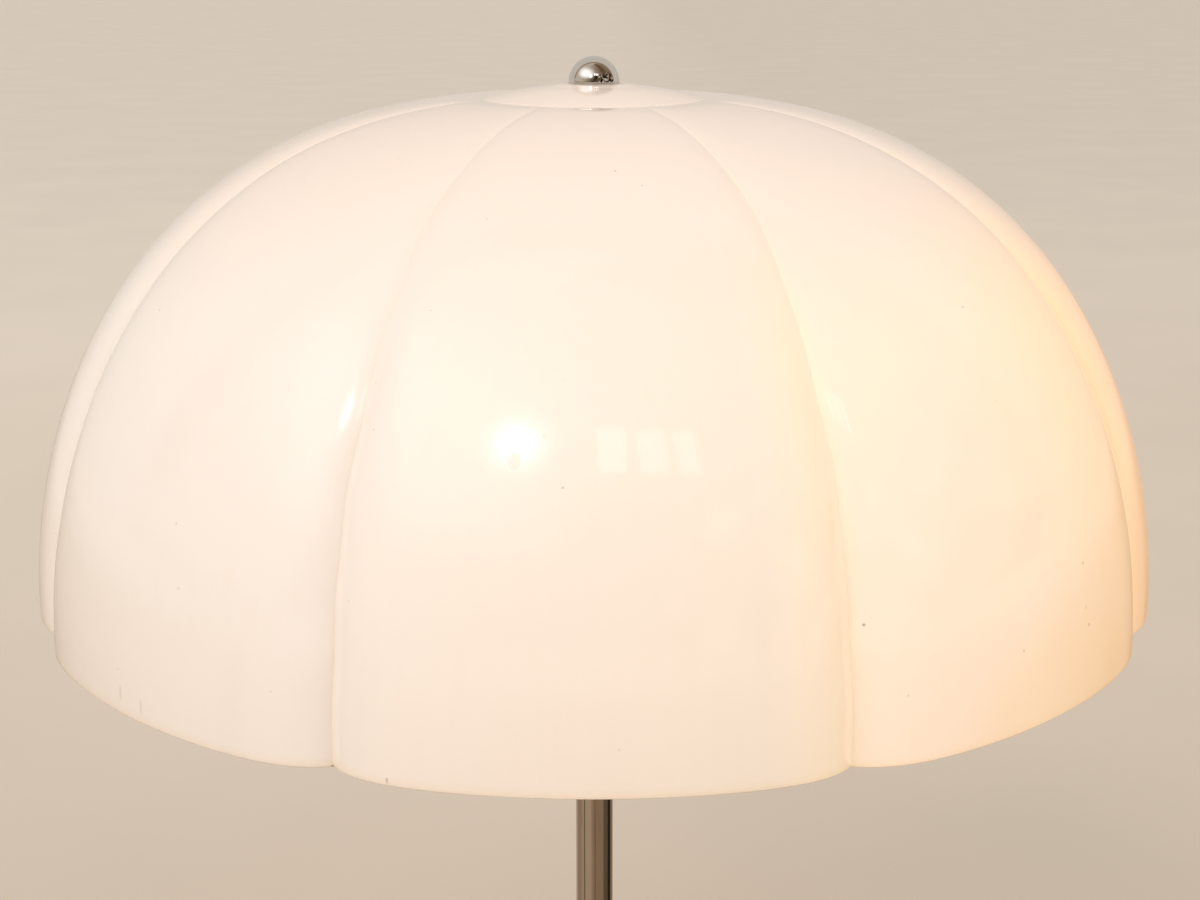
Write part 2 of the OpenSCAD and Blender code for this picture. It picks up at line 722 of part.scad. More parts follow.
module bulb_cap(side) {
    turns = floor((bulb_cap_len - 5) / thread_pitch);
    color([0.80, 0.79, 0.74]) on_arm(side, bulb_tip_x + bulb_cap_from) difference() {
        cylinder(r = bulb_cap_r, h = bulb_cap_len);
        translate([0, 0, -eps]) cylinder(r = neck_r, h = bulb_cap_len + 2 * eps);
        for (i = [0:turns]) translate([0, 0, 1.5 + i * thread_pitch]) rotate_extrude()
            translate([bulb_cap_r + thread_depth / 4, 0]) circle(r = thread_depth, $fn = 24);
    }
}

module bulb_stem(side) {
    mount_r = 3;
    mount_h = waist_x - bulb_cap_from;
    wire_r = 0.4;
    spread_x = 8;
    wire_h = globe_x - waist_x;
    color([0.85, 0.88, 0.90]) on_arm(side, bulb_tip_x + bulb_cap_from) {
        cylinder(r1 = neck_r - bulb_glass_t - 2 * fit_gap, r2 = mount_r, h = mount_h / 3);
        translate([0, 0, mount_h / 3 - eps]) cylinder(r = mount_r, h = 2 * mount_h / 3);
        for (s = [-1, 1]) translate([0, 0, mount_h - 1]) rotate([0, s * atan(spread_x / wire_h), 0])
            cylinder(r = wire_r, h = norm([spread_x, wire_h]) + 1);
        translate([-spread_x, 0, mount_h + wire_h - 1]) rotate([0, 90, 0])
            cylinder(r = 2 * wire_r, h = 2 * spread_x);
    }
}

// Half outline of a bulb's glass from its foot in the cap to the end of the globe, drawn in by an inset
function neck_curve(t) = [
    glass_foot_r + (waist_r - glass_foot_r) * t * t * (1 - neck_bow + neck_bow * t),
    bulb_cap_to + (waist_x - bulb_cap_to) * t];
function globe_curve(a, inset) = [(bulb_d / 2 - inset) * cos(a), globe_x + (bulb_d / 2 - inset) * sin(a)];
function glass_outline(inset) = concat(
    [[glass_foot_r - inset, bulb_cap_from + glass_foot_h]],
    [for (i = [0:neck_steps - 1]) neck_curve(i / neck_steps) - [inset, 0]],
    [for (i = [0:globe_steps]) globe_curve((90 + waist_angle) * i / globe_steps - waist_angle, inset)]);

module bulb_glass(side) {
    outer = glass_outline(0);
    inner = glass_outline(bulb_glass_t);
    inner_back = [for (i = [len(inner) - 1:-1:0]) inner[i]];
    color([0.96, 0.96, 0.94]) on_arm(side, bulb_tip_x) rotate_extrude() polygon(concat(outer, inner_back));
}

module shade_rod() {
    from_z = cluster_top_z - nut_t - rod_end;
    to_z = washer_top_z + insert_len - 1;
    color(brass) translate([0, 0, from_z]) pipe(rod_r, rod_bore / 2, to_z - from_z);
}

module rod_sleeve() {
    color(chrome) translate([0, 0, cover_top_z]) pipe(sleeve_d / 2, rod_r + loose_gap, sleeve_len);
}

module shade_rod_nut() {
    color(brass) translate([0, 0, rest_top_z]) hex_nut(nut_af, nut_t, rod_r + fit_gap);
}

module shade_rest() {
    edge = 0.5;
    color(chrome) translate([0, 0, rest_z]) difference() {
        union() {
            cylinder(r1 = rest_d / 2 - edge, r2 = rest_d / 2, h = edge);
            translate([0, 0, edge]) cylinder(d = rest_d, h = rest_t - edge);
        }
        translate([0, 0, -eps]) cylinder(r = rod_r + loose_gap, h = rest_t + 2 * eps);
    }
}

// Height of the hub's underside at a distance from the axis
function hub_under(r) = hub_top_z - hub_ball_r + sqrt(pow(hub_ball_r - shade_wall, 2) - r * r);

module shade_washer() {
    r_out = rest_d / 2 - 1;
    r_in = r_out - washer_w;
    color([0.15, 0.15, 0.15]) rotate_extrude() polygon([
        [r_in, rest_top_z], [r_out, rest_top_z],
        [r_out, hub_under(r_out) - loose_gap], [r_in, hub_under(r_in) - loose_gap]]);
}

module shade_bushing() {
    color([0.88, 0.87, 0.84]) difference() {
        union() {
            translate([0, 0, rod_nut_top_z]) cylinder(r = bushing_flange_r, h = bushing_flange_t);
            translate([0, 0, hub_under_z - eps])
                cylinder(r = hub_hole_r - fit_gap, h = shade_wall + eps);
        }
        translate([0, 0, rod_nut_top_z - eps])
            cylinder(r = rod_r + fit_gap, h = bushing_flange_t + shade_wall + 2 * eps);
    }
}

// The 8 lobes, as one faceted shell from the hub to the rim, with the rim at z = 0
module shade_lobes() {
    last = dome_rings + skirt_rings;
    rings = last + 1;
    points = [for (inward = [0, shade_wall], i = [0:last], c = [0:columns - 1]) shade_point(i, c, inward)];
    function at(inner, i, c) = (inner * rings + i) * columns + c % columns;
    outside = [for (i = [0:last - 1], c = [0:columns - 1], half = [0, 1]) half == 0
        ? [at(0, i, c), at(0, i, c + 1), at(0, i + 1, c + 1)]
        : [at(0, i, c), at(0, i + 1, c + 1), at(0, i + 1, c)]];
    inside = [for (i = [0:last - 1], c = [0:columns - 1], half = [0, 1]) half == 0
        ? [at(1, i, c), at(1, i + 1, c + 1), at(1, i, c + 1)]
        : [at(1, i, c), at(1, i + 1, c), at(1, i + 1, c + 1)]];
    edges = [for (c = [0:columns - 1], end = [0, 1], half = [0, 1])
        let (i = end * last, a = at(0, i, c), b = at(0, i, c + 1), d = at(1, i, c), e = at(1, i, c + 1))
        end == 0 ? (half == 0 ? [a, e, b] : [a, d, e]) : (half == 0 ? [a, b, e] : [a, e, d])];
    polyhedron(points = points, faces = concat(outside, inside, edges));
}

// The hub: a shallow ball cap with a flat land round its hole
module shade_hub() {
    ball_z = hub_top_z - hub_ball_r;
    out_r = hub_r + hub_overlap;
    difference() {
        intersection() {
            union() {
                translate([0, 0, ball_z]) sphere(r = hub_ball_r);
                translate([0, 0, hub_top_z - hub_rise]) cylinder(r = hub_land_r, h = hub_rise);
            }
            translate([0, 0, hub_top_z - 3 * hub_rise]) cylinder(r = out_r, h = 3 * hub_rise);
        }
        difference() {
            translate([0, 0, ball_z]) sphere(r = hub_ball_r - shade_wall);
            translate([0, 0, hub_under_z]) cylinder(r = hub_land_r, h = hub_rise);
        }
        translate([0, 0, hub_under_z - 3 * hub_rise]) cylinder(r = hub_land_r - 1, h = 3 * hub_rise);
    }
}

module shade() {
    color(opal) difference() {
        union() {
            translate([0, 0, rim_z]) shade_lobes();
            shade_hub();
        }
        translate([0, 0, hub_under_z - hub_rise]) cylinder(r = hub_hole_r, h = 2 * hub_rise + shade_wall);
    }
}

module finial_washer() {
    color(chrome) translate([0, 0, hub_top_z])
        pipe(finial_d / 2 + finial_washer_lip, rod_r + fit_gap, finial_washer_t);
}

module finial_insert() {
    color(brass) translate([0, 0, washer_top_z]) pipe(insert_r, rod_r + fit_gap, insert_len);
}

module finial() {
    color(chrome) translate([0, 0, washer_top_z]) difference() {
        union() {
            cylinder(d = finial_d, h = finial_edge_h);
            intersection() {
                translate([0, 0, finial_edge_h]) sphere(d = finial_d);
                cylinder(d = 2 * finial_d, h = finial_d);
            }
        }
        translate([0, 0, -eps]) cylinder(r = insert_r + fit_gap, h = insert_len + fit_gap + eps);
    }
}

felt_pad();
base_weight();
base_shell();
inlet_bushing();
base_lock_washer();
base_nut();
stem_collar();
threaded_rod();
stem_tube();
stem_cap();
cluster_body();
cluster_cover();
cluster_nuts();
wire_connectors();
arm(LEFT);  // left_arm
arm(RIGHT);  // right_arm
socket_cap(LEFT);  // left_socket_cap
socket_cap(RIGHT);  // right_socket_cap
socket_shell(LEFT);  // left_socket_shell
socket_shell(RIGHT);  // right_socket_shell
liner(LEFT);  // left_liner
liner(RIGHT);  // right_liner
socket_core(LEFT);  // left_socket_core
socket_core(RIGHT);  // right_socket_core
screw_shell(LEFT);  // left_screw_shell
screw_shell(RIGHT);  // right_screw_shell
centre_contact(LEFT);  // left_centre_contact
centre_contact(RIGHT);  // right_centre_contact
terminal_screws(LEFT);  // left_terminal_screws
terminal_screws(RIGHT);  // right_terminal_screws
inner_leads(LEFT);  // left_inner_leads
inner_leads(RIGHT);  // right_inner_leads
switch_shaft(LEFT);  // left_switch_shaft
switch_shaft(RIGHT);  // right_switch_shaft
switch_knob(LEFT);  // left_switch_knob
switch_knob(RIGHT);  // right_switch_knob
bulb_tip(LEFT);  // left_bulb_tip
bulb_tip(RIGHT);  // right_bulb_tip
bulb_insulator(LEFT);  // left_bulb_insulator
bulb_insulator(RIGHT);  // right_bulb_insulator
bulb_cap(LEFT);  // left_bulb_cap
bulb_cap(RIGHT);  // right_bulb_cap
bulb_stem(LEFT);  // left_bulb_stem
bulb_stem(RIGHT);  // right_bulb_stem
bulb_glass(LEFT);  // left_bulb_glass
bulb_glass(RIGHT);  // right_bulb_glass
shade_rod();
rod_sleeve();
shade_rod_nut();
shade_rest();
shade_washer();
shade_bushing();
shade();
finial_washer();
finial_insert();
finial();
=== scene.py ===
"""Looks of a table lamp with a lobed opal dome shade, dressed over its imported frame.

Lengths are in metres, +Z is up along the stem, z = 0 is the floor and one lobe of the shade faces -Y.
"""

import json
import logging
import math
from collections.abc import Callable, Iterable, Sequence
from dataclasses import dataclass
from enum import Enum

import bpy
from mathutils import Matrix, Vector


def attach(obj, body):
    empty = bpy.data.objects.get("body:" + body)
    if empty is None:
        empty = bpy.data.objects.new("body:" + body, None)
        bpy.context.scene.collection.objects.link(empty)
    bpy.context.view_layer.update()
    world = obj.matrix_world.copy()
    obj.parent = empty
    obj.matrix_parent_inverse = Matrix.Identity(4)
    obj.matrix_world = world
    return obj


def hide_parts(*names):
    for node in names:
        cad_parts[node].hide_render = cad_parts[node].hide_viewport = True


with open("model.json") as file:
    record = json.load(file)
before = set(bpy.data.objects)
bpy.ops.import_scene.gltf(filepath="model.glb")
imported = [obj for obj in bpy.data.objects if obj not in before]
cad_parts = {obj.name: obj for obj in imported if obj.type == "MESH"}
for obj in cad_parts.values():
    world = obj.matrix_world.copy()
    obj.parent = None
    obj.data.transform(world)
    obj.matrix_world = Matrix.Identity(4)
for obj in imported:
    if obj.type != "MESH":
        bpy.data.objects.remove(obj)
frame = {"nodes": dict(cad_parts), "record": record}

LOG = logging.getLogger("lamp")
EDGE = 0.0003  # break of a turned edge
FINE_EDGE = 0.0002  # break of an edge in thin sheet
Colour = tuple[float, float, float]
Place = tuple[float, float, float]
Outline = list[tuple[float, float]]


class Tone(Enum):
    """Tones of the room that polished metal and the gloss of the shade show."""

    PALE = (0.58, 0.50, 0.42)
    SAND = (0.42, 0.33, 0.26)
    TAN = (0.34, 0.24, 0.165)
    TIMBER = (0.28, 0.185, 0.115)
    WALNUT = (0.22, 0.145, 0.085)
    DIM = (0.095, 0.067, 0.042)
    SHADOW = (0.014, 0.010, 0.004)


class Bench:
    """Modelling steps that the pieces share, each done with Blender's own operators."""

    @staticmethod
    def clear() -> None:
        """Leaves edit mode and deselects all."""
        if bpy.context.mode != "OBJECT":
            bpy.ops.object.mode_set(mode="OBJECT")
        bpy.ops.object.select_all(action="DESELECT")

    @staticmethod
    def take(piece: bpy.types.Object) -> None:
        """Selects one piece alone and makes it active.

        Args:
            piece: The piece to take in hand.
        """
        Bench.clear()
        piece.select_set(True)
        bpy.context.view_layer.objects.active = piece

    @staticmethod
    def edit(piece: bpy.types.Object, modes: tuple[bool, bool, bool] = (True, False, False)) -> None:
        """Takes one piece into edit mode.

        Args:
            piece: The piece.
            modes: Whether vertices, edges and faces are worked on.
        """
        Bench.take(piece)
        bpy.context.tool_settings.mesh_select_mode = modes
        bpy.ops.object.mode_set(mode="EDIT")

    @staticmethod
    def named(name: str) -> bpy.types.Object:
        """Names the piece that was just added or copied.

        Args:
            name: Name of the piece and of its mesh.

        Returns:
            The piece.
        """
        piece = bpy.context.active_object
        piece.name = piece.data.name = name
        return piece

    @staticmethod
    def arc(middle: tuple[float, float], reach: tuple[float, float], start: float, end: float,
            steps: int) -> Outline:
        """Draws points along part of an ellipse.

        Args:
            middle: Radius and height of the middle.
            reach: Half width and half height.
            start: First angle in degrees, from 0 outwards to 90 upwards.
            end: Last angle in degrees.
            steps: Number of steps from the first point to the last.

        Returns:
            Radius and height of each point, both ends included.
        """
        angles = (math.radians(start + (end - start) * i / steps) for i in range(steps + 1))
        return [(middle[0] + reach[0] * math.cos(a), middle[1] + reach[1] * math.sin(a)) for a in angles]

    @staticmethod
    def seal(piece: bpy.types.Object) -> None:
        """Merges what meets in one place and turns all faces outwards.

        Args:
            piece: The piece, whose faces form one closed or open skin.
        """
        Bench.edit(piece)
        bpy.ops.mesh.select_all(action="SELECT")
        bpy.ops.mesh.remove_doubles(threshold=2e-6)
        bpy.ops.mesh.normals_make_consistent(inside=False)
        bpy.ops.object.mode_set(mode="OBJECT")

    @staticmethod
    def draw(name: str, outline: Outline) -> bpy.types.Object:
        """Draws a chain of edges in the XZ plane, point by point.

        Args:
            name: Name of the new piece.
            outline: Radius and height of each point.

        Returns:
            The piece, left in edit mode with its last point selected.
        """
        Bench.clear()
        bpy.ops.mesh.primitive_plane_add(size=0.001, location=(0.0, 0.0, 0.0))
        piece = Bench.named(name)
        Bench.edit(piece)
        bpy.ops.mesh.select_all(action="SELECT")
        bpy.ops.mesh.merge(type="CENTER")
        x, z = outline[0]
        bpy.ops.transform.translate(value=(x, 0.0, z))
        for new_x, new_z in outline[1:]:
            bpy.ops.mesh.extrude_vertices_move(
                TRANSFORM_OT_translate={"value": (new_x - x, 0.0, new_z - z)})
            x, z = new_x, new_z
        return piece

    @staticmethod
    def lathe(name: str, outline: Outline, steps: int = 96, ring: bool = False) -> bpy.types.Object:
        """Turns an outline once round the Z axis.

        Args:
            name: Name of the new piece.
            outline: Radius and height of each point.
            steps: Number of steps round the axis.
            ring: True joins the last point to the first, for a piece with a hole.

        Returns:
            The closed piece.
        """
        piece = Bench.draw(name, [*outline, outline[0]] if ring else outline)
        bpy.ops.mesh.select_all(action="SELECT")
        bpy.ops.mesh.spin(steps=steps, angle=math.tau, center=(0.0, 0.0, 0.0), axis=(0.0, 0.0, 1.0))
        bpy.ops.object.mode_set(mode="OBJECT")
        Bench.seal(piece)
        return piece

    @staticmethod
    def modify(piece: bpy.types.Object, kind: str, **settings: object) -> None:
        """Adds one modifier and applies it.

        Args:
            piece: The piece.
            kind: Blender's type of the modifier.
            settings: Properties of the modifier.
        """
        Bench.take(piece)
        modifier = piece.modifiers.new(kind.title(), kind)
        for key, value in settings.items():
            setattr(modifier, key, value)
        bpy.ops.object.modifier_apply(modifier=modifier.name)

    @staticmethod
    def smooth(piece: bpy.types.Object, angle: float = 32.0) -> None:
        """Shades a piece smooth up to an angle in degrees."""
        Bench.take(piece)
        bpy.ops.object.shade_smooth_by_angle(angle=math.radians(angle))

    @staticmethod
    def cut(piece: bpy.types.Object, cutter: bpy.types.Object) -> None:
        """Cuts one closed piece out of another and takes the cutter away."""
        Bench.modify(piece, "BOOLEAN", operation="DIFFERENCE", object=cutter, solver="EXACT")
        bpy.data.objects.remove(cutter)

    @staticmethod
    def drill(piece: bpy.types.Object, radius: float, depth: float, place: Sequence[float],
              tilt: Sequence[float] = (0.0, 0.0, 0.0), sides: int = 48) -> None:
        """Drills one round hole.

        Args:
            piece: The piece that gets the hole.
            radius: Radius of the hole.
            depth: Length of the drill.
            place: Middle of the drill.
            tilt: Turn of the drill from upright, about each axis.
            sides: Number of sides of the hole.
        """
        bpy.ops.mesh.primitive_cylinder_add(
            vertices=sides, radius=radius, depth=depth, location=place, rotation=tilt)
        Bench.cut(piece, Bench.named("drill"))

    @staticmethod
    def copy_round(piece: bpy.types.Object, count: int) -> None:
        """Copies the mesh of a piece round the Z axis, at even steps.

        Args:
            piece: The piece, with all of its mesh selected.
            count: How often the mesh is there in the end.
        """
        Bench.edit(piece)
        for _ in range(count - 1):
            bpy.ops.mesh.duplicate()
            bpy.ops.transform.rotate(value=math.tau / count, orient_axis="Z",
                                     center_override=(0.0, 0.0, 0.0))
        bpy.ops.object.mode_set(mode="OBJECT")

    @staticmethod
    def settle(piece: bpy.types.Object) -> None:
        """Puts a piece's place, turn and size into its mesh."""
        Bench.take(piece)
        bpy.ops.object.transform_apply(location=True, rotation=True, scale=True)

    @staticmethod
    def lay_along_arm(piece: bpy.types.Object, height: float) -> None:
        """Lays a piece that was made standing along the right arm.

        Args:
            piece: The piece.
            height: Height of the arm over the floor.
        """
        piece.rotation_euler = (0.0, math.pi / 2, 0.0)
        piece.location = (0.0, 0.0, height)
        Bench.settle(piece)

    @staticmethod
    def other_side(piece: bpy.types.Object, name: str) -> bpy.types.Object:
        """Copies a piece of the right side to the left, with its own mesh.

        Args:
            piece: The finished piece of the right side.
            name: Name of the copy.

        Returns:
            The copy, turned half round the lamp's axis.
        """
        Bench.take(piece)
        bpy.ops.object.duplicate(linked=False)
        copy = Bench.named(name)
        copy.rotation_euler = (0.0, 0.0, math.pi)
        Bench.settle(copy)
        return copy


class Graph:
    """A short way to place and join the nodes of one shader tree."""

    def __init__(self, tree: bpy.types.NodeTree) -> None:
        """Keeps the tree that the nodes go in."""
        self.tree = tree

    def add(self, kind: str, settings: dict[str, object] | None = None,
            inputs: dict[str | int, object] | None = None) -> bpy.types.Node:
        """Places one node.

        Args:
            kind: Blender's name of the node, without its ShaderNode start.
            settings: Properties of the node itself.
            inputs: Values, or sockets to join, by the input's name or number.

        Returns:
            The new node.
        """
        node = self.tree.nodes.new("ShaderNode" + kind)
        for key, value in (settings or {}).items():
            setattr(node, key, value)
        self.feed(node, inputs or {})
        return node

    def feed(self, node: bpy.types.Node, inputs: dict[str | int, object]) -> None:
        """Gives a node its inputs.

        Args:
            node: The node.
            inputs: Values, or sockets to join, by the input's name or number.
        """
        for key, value in inputs.items():
            if isinstance(value, bpy.types.NodeSocket):
                self.tree.links.new(value, node.inputs[key])
            else:
                node.inputs[key].default_value = value

    def effect(self, tree: bpy.types.NodeTree, **inputs: object) -> bpy.types.NodeSocket:
        """Places a shared effect.

        Args:
            tree: The effect's group.
            inputs: Its inputs by name, in place of the group's own values.

        Returns:
            Its one output.
        """
        node = self.add("Group", {"node_tree": tree}, inputs)
        return node.outputs[0]

    def math(self, operation: str, *values: object, clamp: bool = False) -> bpy.types.NodeSocket:
        """Places a Math node and returns its result."""
        node = self.add("Math", {"operation": operation, "use_clamp": clamp}, dict(enumerate(values)))
        return node.outputs[0]

    def vector(self, operation: str, *values: object) -> bpy.types.NodeSocket:
        """Places a Vector Math node and returns its vector."""
        return self.add("VectorMath", {"operation": operation}, dict(enumerate(values))).outputs[0]

    def product(self, first: object, second: object) -> bpy.types.NodeSocket:
        """Multiplies two values."""
        return self.math("MULTIPLY", first, second)

    def blend(self, share: object, first: object, second: object) -> bpy.types.NodeSocket:
        """Mixes two colours by a share and returns the result."""
        node = self.add("Mix", {"data_type": "RGBA"}, {0: share, 6: first, 7: second})
        return node.outputs[2]

    def length(self, vector: object) -> bpy.types.NodeSocket:
        """Measures a vector."""
        return self.add("VectorMath", {"operation": "LENGTH"}, {0: vector}).outputs["Value"]

    def noise(self, place: object, scale: object, detail: float = 3.0) -> bpy.types.NodeSocket:
        """Places a noise texture and returns its value."""
        return self.add("TexNoise", inputs={"Vector": place, "Scale": scale, "Detail": detail}).outputs[0]

    def bearings(self, place: bpy.types.NodeSocket) -> tuple[list[bpy.types.NodeSocket], bpy.types.NodeSocket,
                                                             bpy.types.NodeSocket]:
        """Finds which way a place lies from the lamp's axis.

        Args:
            place: A place or a direction.

        Returns:
            Its X, Y and Z, its azimuth from -Y towards +X, and the azimuth as a share from 0 to 1,
            with -Y at 0.5.
        """
        axes = list(self.add("SeparateXYZ", inputs={0: place}).outputs)
        azimuth = self.math("ARCTAN2", axes[0], self.product(axes[1], -1.0))
        return axes, azimuth, self.math("ADD", self.math("DIVIDE", azimuth, math.tau), 0.5)

    def spread(self, value: object, low: float, high: float, to_low: float = 0.0,
               to_high: float = 1.0, smooth: bool = False) -> bpy.types.NodeSocket:
        """Maps a value from one range to another and stops at its ends.

        Args:
            value: The value.
            low: Where the first range starts.
            high: Where it ends, which may lie below its start.
            to_low: The result at the start.
            to_high: The result at the end.
            smooth: True eases in and out.

        Returns:
            The result.
        """
        kind = "SMOOTHSTEP" if smooth else "LINEAR"
        ends = {0: value, 1: low, 2: high, 3: to_low, 4: to_high}
        return self.add("MapRange", {"interpolation_type": kind}, ends).outputs[0]

    def by_azimuth(self, turn: bpy.types.NodeSocket,
                   table: Sequence[tuple[float, Colour]]) -> bpy.types.NodeSocket:
        """Turns an azimuth into a colour by a table.

        Args:
            turn: The azimuth as a share from 0 to 1.
            table: Azimuths in degrees from -180 to 180, and the colour at each.

        Returns:
            The colour.
        """
        node = self.add("ValToRGB", inputs={0: turn})
        elements = node.color_ramp.elements
        while len(elements) < len(table):
            elements.new(0.5)
        for element, (angle, colour) in zip(elements, table):
            element.position = (angle + 180.0) / 360.0
            element.color = solid(colour)
        return node.outputs[0]


def solid(colour: Colour) -> tuple[float, float, float, float]:
    """Gives a colour its full opacity."""
    return (*colour, 1.0)


class Surface(Graph):
    """A new material, with its shader and the place on the piece that its patterns follow."""

    def __init__(self, name: str) -> None:
        """Starts the material.

        Args:
            name: Name of the material and of its slot.
        """
        self.material = bpy.data.materials.new(name)
        self.material.use_nodes = True
        super().__init__(self.material.node_tree)
        self.shader = self.tree.nodes["Principled BSDF"]
        self.place = self.add("TexCoord").outputs["Object"]

    def mask(self, tree: bpy.types.NodeTree, **inputs: object) -> bpy.types.NodeSocket:
        """Places a shared effect at the place on the piece."""
        return self.effect(tree, Vector=self.place, **inputs)

    def uneven(self, mask: object, low: float, spread: float) -> bpy.types.NodeSocket:
        """Roughness that rises from a low value where a mask is strong."""
        return self.spread(mask, 0.0, 1.0, low, low + spread)

    def bump(self, height: bpy.types.NodeSocket) -> None:
        """Raises the surface by a height in metres."""
        node = self.add("Bump", inputs={"Height": height, "Strength": 1.0, "Distance": 1.0})
        self.feed(self.shader, {"Normal": node.outputs[0]})


class Effects:
    """Shader effects that several finishes share, each one a node group that is built once."""

    def __init__(self) -> None:
        """Builds each group once."""
        self.blotches = self._blotches()
        self.hairlines = self._hairlines()
        self.specks = self._specks()
        self.turning = self._turning()
        self.mark = self._mark()

    @staticmethod
    def _start(name: str, inputs: dict[str, float | None], output: str
               ) -> tuple[bpy.types.NodeTree, Graph, bpy.types.Node, Callable[[bpy.types.NodeSocket], None]]:
        """Starts one group.

        Args:
            name: Name of the group.
            inputs: Name and first value of each input, with None for a vector.
            output: Name of the one output.

        Returns:
            The tree, its graph, its input node, and what joins a socket to the output.
        """
        tree = bpy.data.node_groups.new(name, "ShaderNodeTree")
        for label, value in inputs.items():
            kind = "NodeSocketVector" if value is None else "NodeSocketFloat"
            socket = tree.interface.new_socket(name=label, in_out="INPUT", socket_type=kind)
            if value is not None:
                socket.default_value = value
        tree.interface.new_socket(name=output, in_out="OUTPUT", socket_type="NodeSocketFloat")
        way_in = tree.nodes.new("NodeGroupInput")
        way_out = tree.nodes.new("NodeGroupOutput")
        return tree, Graph(tree), way_in, lambda socket: tree.links.new(socket, way_out.inputs[0])

    def _blotches(self) -> bpy.types.NodeTree:
        """Makes soft uneven patches, as handling and age leave them.

        Returns:
            The group.
        """
        tree, graph, way_in, put = self._start("soft_blotches", {"Vector": None, "Scale": 30.0}, "Mask")
        noise = graph.add("TexNoise", inputs={
            "Vector": way_in.outputs["Vector"], "Scale": way_in.outputs["Scale"], "Detail": 5.0,
            "Roughness": 0.6})
        put(graph.spread(noise.outputs[0], 0.38, 0.66))
        return tree

    def _hairlines(self) -> bpy.types.NodeTree:
        """Makes thin scratches, where a surface cuts the edges of stretched sheets.

        Returns:
            The group.
        """
        tree, graph, way_in, put = self._start(
            "fine_hairlines", {"Vector": None, "Scale": 30.0, "Thin": 0.012}, "Mask")
        found = []
        for turn, seed in (((0.4, 0.9, 0.2), 0.0), ((1.3, 0.3, 1.1), 7.0)):
            turned = graph.add("Mapping", inputs={
                "Vector": way_in.outputs["Vector"], "Rotation": turn, "Scale": (1.0, 0.05, 0.11),
                "Location": (seed, seed, seed)})
            noise = graph.add("TexNoise", inputs={
                "Vector": turned.outputs[0], "Scale": way_in.outputs["Scale"], "Detail": 2.0,
                "Distortion": 0.3})
            off = graph.math("ABSOLUTE", graph.math("SUBTRACT", noise.outputs[0], 0.5))
            found.append(graph.math("LESS_THAN", off, way_in.outputs["Thin"]))
        patches = graph.add("TexNoise", inputs={
            "Vector": way_in.outputs["Vector"], "Scale": graph.product(way_in.outputs["Scale"], 0.5)})
        share = graph.spread(patches.outputs[0], 0.48, 0.62)
        put(graph.math("MULTIPLY", graph.math("MAXIMUM", *found), share))
        return tree

    def _specks(self) -> bpy.types.NodeTree:
        """Makes scattered dots of dust or grit.

        Returns:
            The group.
        """
        tree, graph, way_in, put = self._start(
            "scattered_specks", {"Vector": None, "Scale": 200.0, "Size": 0.12, "Rare": 0.8}, "Mask")
        cells = graph.add("TexVoronoi", inputs={
            "Vector": way_in.outputs["Vector"], "Scale": way_in.outputs["Scale"]})
        chance = graph.add("SeparateColor", inputs={0: cells.outputs["Color"]})
        dot = graph.math("LESS_THAN", cells.outputs["Distance"], way_in.outputs["Size"])
        kept = graph.math("GREATER_THAN", chance.outputs[0], way_in.outputs["Rare"])
        put(graph.math("MULTIPLY", graph.math("MULTIPLY", dot, kept), chance.outputs[1]))
        return tree

    def _turning(self) -> bpy.types.NodeTree:
        """Makes the fine rings that turning or spinning leaves round an axis.

        Returns:
            The group.
        """
        tree, graph, way_in, put = self._start(
            "turning_rings", {"Vector": None, "Axis": None, "Scale": 900.0}, "Height")
        along = graph.add("VectorMath", {"operation": "DOT_PRODUCT"}, {
            0: way_in.outputs["Vector"], 1: way_in.outputs["Axis"]})
        place = graph.math("MULTIPLY", along.outputs["Value"], way_in.outputs["Scale"])
        noise = graph.add("TexNoise", {"noise_dimensions": "1D"}, {"W": place, "Scale": 1.0, "Detail": 3.0})
        put(noise.outputs[0])
        return tree

    def _mark(self) -> bpy.types.NodeTree:
        """Makes one soft spot round a place, wide or narrow along each axis.

        Returns:
            The group.
        """
        tree, graph, way_in, put = self._start(
            "single_mark", {"Vector": None, "Place": None, "Reach": None}, "Mask")
        off = graph.vector("SUBTRACT", way_in.outputs["Vector"], way_in.outputs["Place"])
        scaled = graph.vector("DIVIDE", off, way_in.outputs["Reach"])
        put(graph.spread(graph.length(scaled), 1.0, 0.45, smooth=True))
        return tree


